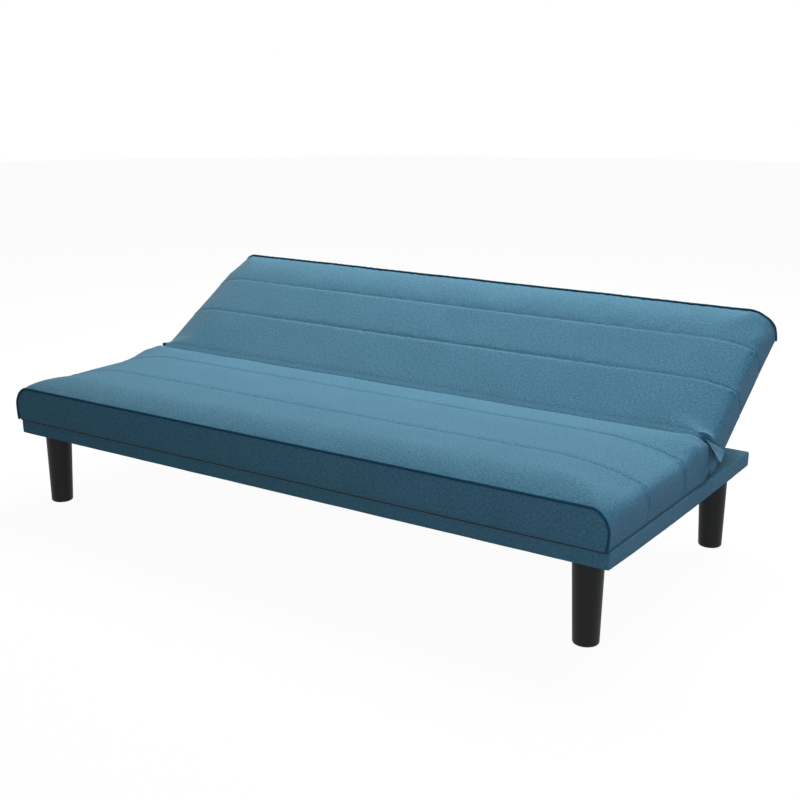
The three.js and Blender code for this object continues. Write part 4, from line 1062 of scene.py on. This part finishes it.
class SOFABED_OT_fittings(bpy.types.Operator):
    """Gives the timber, webbing and hinge pieces of the frame their materials, and sets the hinge's screws"""

    bl_idname = "sofabed.fittings"
    bl_label = "Frame and fittings"

    def execute(self, context):
        makers = {"pine": sawn_pine, "hardboard": pressed_hardboard, "belt_webbing": elastic_webbing,
                  "zinc_steel": zinc_plated, "black_steel": black_enamelled, "spring_steel": spring_wire,
                  "black_plastic": moulded_black, "dust_cloth": liner_cloth}
        slots = {part["node"]: part["material_slot"] for part in frame["record"]["subparts"]}
        for node, piece in frame["nodes"].items():
            maker = makers.get(slots.get(node))
            if maker is None:
                continue
            material = maker()
            if piece.material_slots:
                piece.material_slots[0].material = material
            else:
                piece.data.materials.append(material)
        # Three screws stand in a row near the lower edge of each bracket
        row_height, spacing, screw_radius = 0.0094, 0.039, 0.0042
        for side, sign in (("left", -1), ("right", 1)):
            low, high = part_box(f"hinge_bracket_{side}")
            face = low[0] if sign > 0 else high[0]
            spots = [[face, PIVOT[1] + step * spacing, low[2] + row_height] for step in (-1, 0, 1)]
            screw_heads(f"bracket_screws_{side}", spots, screw_radius, -sign, "base")
        return {"FINISHED"}


# The stage
def area_lamp(name, place, target, width, depth, power, colour=(1, 1, 1)):
    """A rectangular soft lamp at a place, turned towards a target."""
    data = bpy.data.lights.new(name, "AREA")
    data.shape = "RECTANGLE"
    data.size, data.size_y = width, depth
    data.energy = power
    data.color = colour
    lamp = bpy.data.objects.new(name, data)
    bpy.context.scene.collection.objects.link(lamp)
    lamp.location = place
    lamp.rotation_euler = (Vector(target) - Vector(place)).to_track_quat("-Z", "Y").to_euler()


def seen_directly(tree):
    """A factor that is 1 for camera, mirror and transmission rays and 0 for the rays that carry light."""
    path = add_node(tree, "ShaderNodeLightPath")
    seen = add_node(tree, "ShaderNodeMath", {"operation": "MAXIMUM"},
                    {0: path.outputs["Is Camera Ray"], 1: path.outputs["Is Glossy Ray"]})
    return add_node(tree, "ShaderNodeMath", {"operation": "MAXIMUM"},
                    {0: seen.outputs[0], 1: path.outputs["Is Transmission Ray"]}).outputs[0]


def shown_white(tree, dark, share):
    """A shader that lights its surroundings as the dark surface does, but is seen as white light mixed with a
    small share of a lit white surface, so that a soft shadow stays on it."""
    white = add_node(tree, "ShaderNodeEmission", {"Strength": 1.0, "Color": (1, 1, 1, 1)})
    lit = add_node(tree, "ShaderNodeBsdfDiffuse", {"Color": (1, 1, 1, 1)})
    shown = add_node(tree, "ShaderNodeMixShader", {0: 1 - share}, {1: lit.outputs[0], 2: white.outputs[0]})
    return add_node(tree, "ShaderNodeMixShader", {}, {0: seen_directly(tree), 1: dark, 2: shown.outputs[0]})


class SOFABED_OT_stage(bpy.types.Operator):
    """Makes the floor and surroundings, both seen as white, the soft lamps and the camera"""

    bl_idname = "sofabed.stage"
    bl_label = "Stage"

    def execute(self, context):
        scene = context.scene
        scene.view_settings.view_transform = "Standard"
        # A round floor of four rings, half a millimetre below the feet
        segments, radii, level = 96, np.array([1.5, 3.0, 6.0, 12.0]), -0.0005
        turn = np.linspace(0, 2 * math.pi, segments, endpoint=False)
        disc = radii[:, None, None] * np.stack([np.cos(turn), np.sin(turn), np.zeros(segments)], -1)
        points = np.concatenate([disc.reshape(-1, 3), [[0, 0, 0]]]) + [0, 0, level]
        around = np.arange(segments)
        middle = np.stack([np.full(segments, len(points) - 1), around, (around + 1) % segments], -1)
        quads = grid_faces(len(radii), segments, wrap=True, flip=True)
        # Matt board, seen as white with a trace of soft shadow, that throws back as little light as grey
        material, tree, shader = new_material("white studio floor", "#7f8991", 0.9, Specular_IOR_Level=0.0)
        mixed = shown_white(tree, shader.outputs[0], 0.04)
        tree.links.new(mixed.outputs[0], tree.nodes["Material Output"].inputs["Surface"])
        make_mesh("studio_floor", points, [*quads, *middle], material)

        world = bpy.data.worlds.new("white surroundings")
        scene.world = world
        world.use_nodes = True
        tree = world.node_tree
        lit = tree.nodes["Background"]
        lit.inputs["Color"].default_value = (0.78, 0.9, 1.0, 1.0)
        lit.inputs["Strength"].default_value = 0.11
        white = add_node(tree, "ShaderNodeBackground", {"Strength": 1.0, "Color": (1, 1, 1, 1)})
        mixed = add_node(tree, "ShaderNodeMixShader", {},
                         {0: seen_directly(tree), 1: lit.outputs[0], 2: white.outputs[0]})
        tree.links.new(mixed.outputs[0], tree.nodes["World Output"].inputs["Surface"])

        # Warm light from above and behind, cool light from the right, and a fill from the front
        area_lamp("overhead softbox", (-0.1, 1.6, 2.8), (0.0, 0.1, 0.3), 3.2, 2.0, 190, (1.0, 0.96, 0.92))
        area_lamp("right softbox", (3.3, -0.2, 1.2), (0.4, 0.0, 0.3), 1.4, 1.2, 19, (0.45, 0.78, 1.0))
        area_lamp("front fill", (2.0, -3.4, 1.1), (0.3, 0.0, 0.3), 2.0, 1.2, 32)

        # The camera stands as the photo's did, with its lens and shift matched to the 800 x 800 frame
        to_right, before_base, height = 1.7919, 2.1489, 1.1532
        tilt_down, turned_left = math.radians(12.67), math.radians(34.05)
        camera = bpy.data.cameras.new("camera")
        camera.lens = 58.08
        camera.sensor_width = 36.0
        camera.shift_x, camera.shift_y = 0.0069, -0.0686
        holder = bpy.data.objects.new("camera", camera)
        scene.collection.objects.link(holder)
        holder.location = (to_right, BASE_LOW[1] - before_base, height)
        holder.rotation_euler = (math.radians(90) - tilt_down, 0.0, turned_left)
        scene.camera = holder
        return {"FINISHED"}


# The add-on's panel and its registration
class SOFABED_PT_panel(bpy.types.Panel):
    """Lists the sizes, the colours and the steps that dress the sofa bed"""

    bl_label = "Sofa bed"
    bl_idname = "SOFABED_PT_panel"
    bl_space_type = "VIEW_3D"
    bl_region_type = "UI"
    bl_category = "Sofa bed"

    def draw(self, context):
        for group in (context.scene.sofa_bed_sizes, context.scene.sofa_bed_colours):
            box = self.layout.box()
            for name in group.__annotations__:
                box.prop(group, name)
        for step in STEPS:
            self.layout.operator(step.bl_idname)


STEPS = (
    SOFABED_OT_stage,
    SOFABED_OT_fittings,
    SOFABED_OT_seat_pad,
    SOFABED_OT_back_pad,
    SOFABED_OT_base_cover,
    SOFABED_OT_gap_liner,
    SOFABED_OT_dust_cloths,
    SOFABED_OT_legs,
)
CLASSES = (SofaBedSizes, SofaBedColours, *STEPS, SOFABED_PT_panel)


def register():
    for kind in CLASSES:
        bpy.utils.register_class(kind)
    bpy.types.Scene.sofa_bed_sizes = PointerProperty(type=SofaBedSizes)
    bpy.types.Scene.sofa_bed_colours = PointerProperty(type=SofaBedColours)


def unregister():
    del bpy.types.Scene.sofa_bed_colours
    del bpy.types.Scene.sofa_bed_sizes
    for kind in reversed(CLASSES):
        bpy.utils.unregister_class(kind)


def main():
    register()
    for step in STEPS:
        group, name = step.bl_idname.split(".")
        result = getattr(getattr(bpy.ops, group), name)()
        if result != {"FINISHED"}:
            raise RuntimeError(f"{step.bl_label} did not finish")


if __name__ == "__main__":
    main()
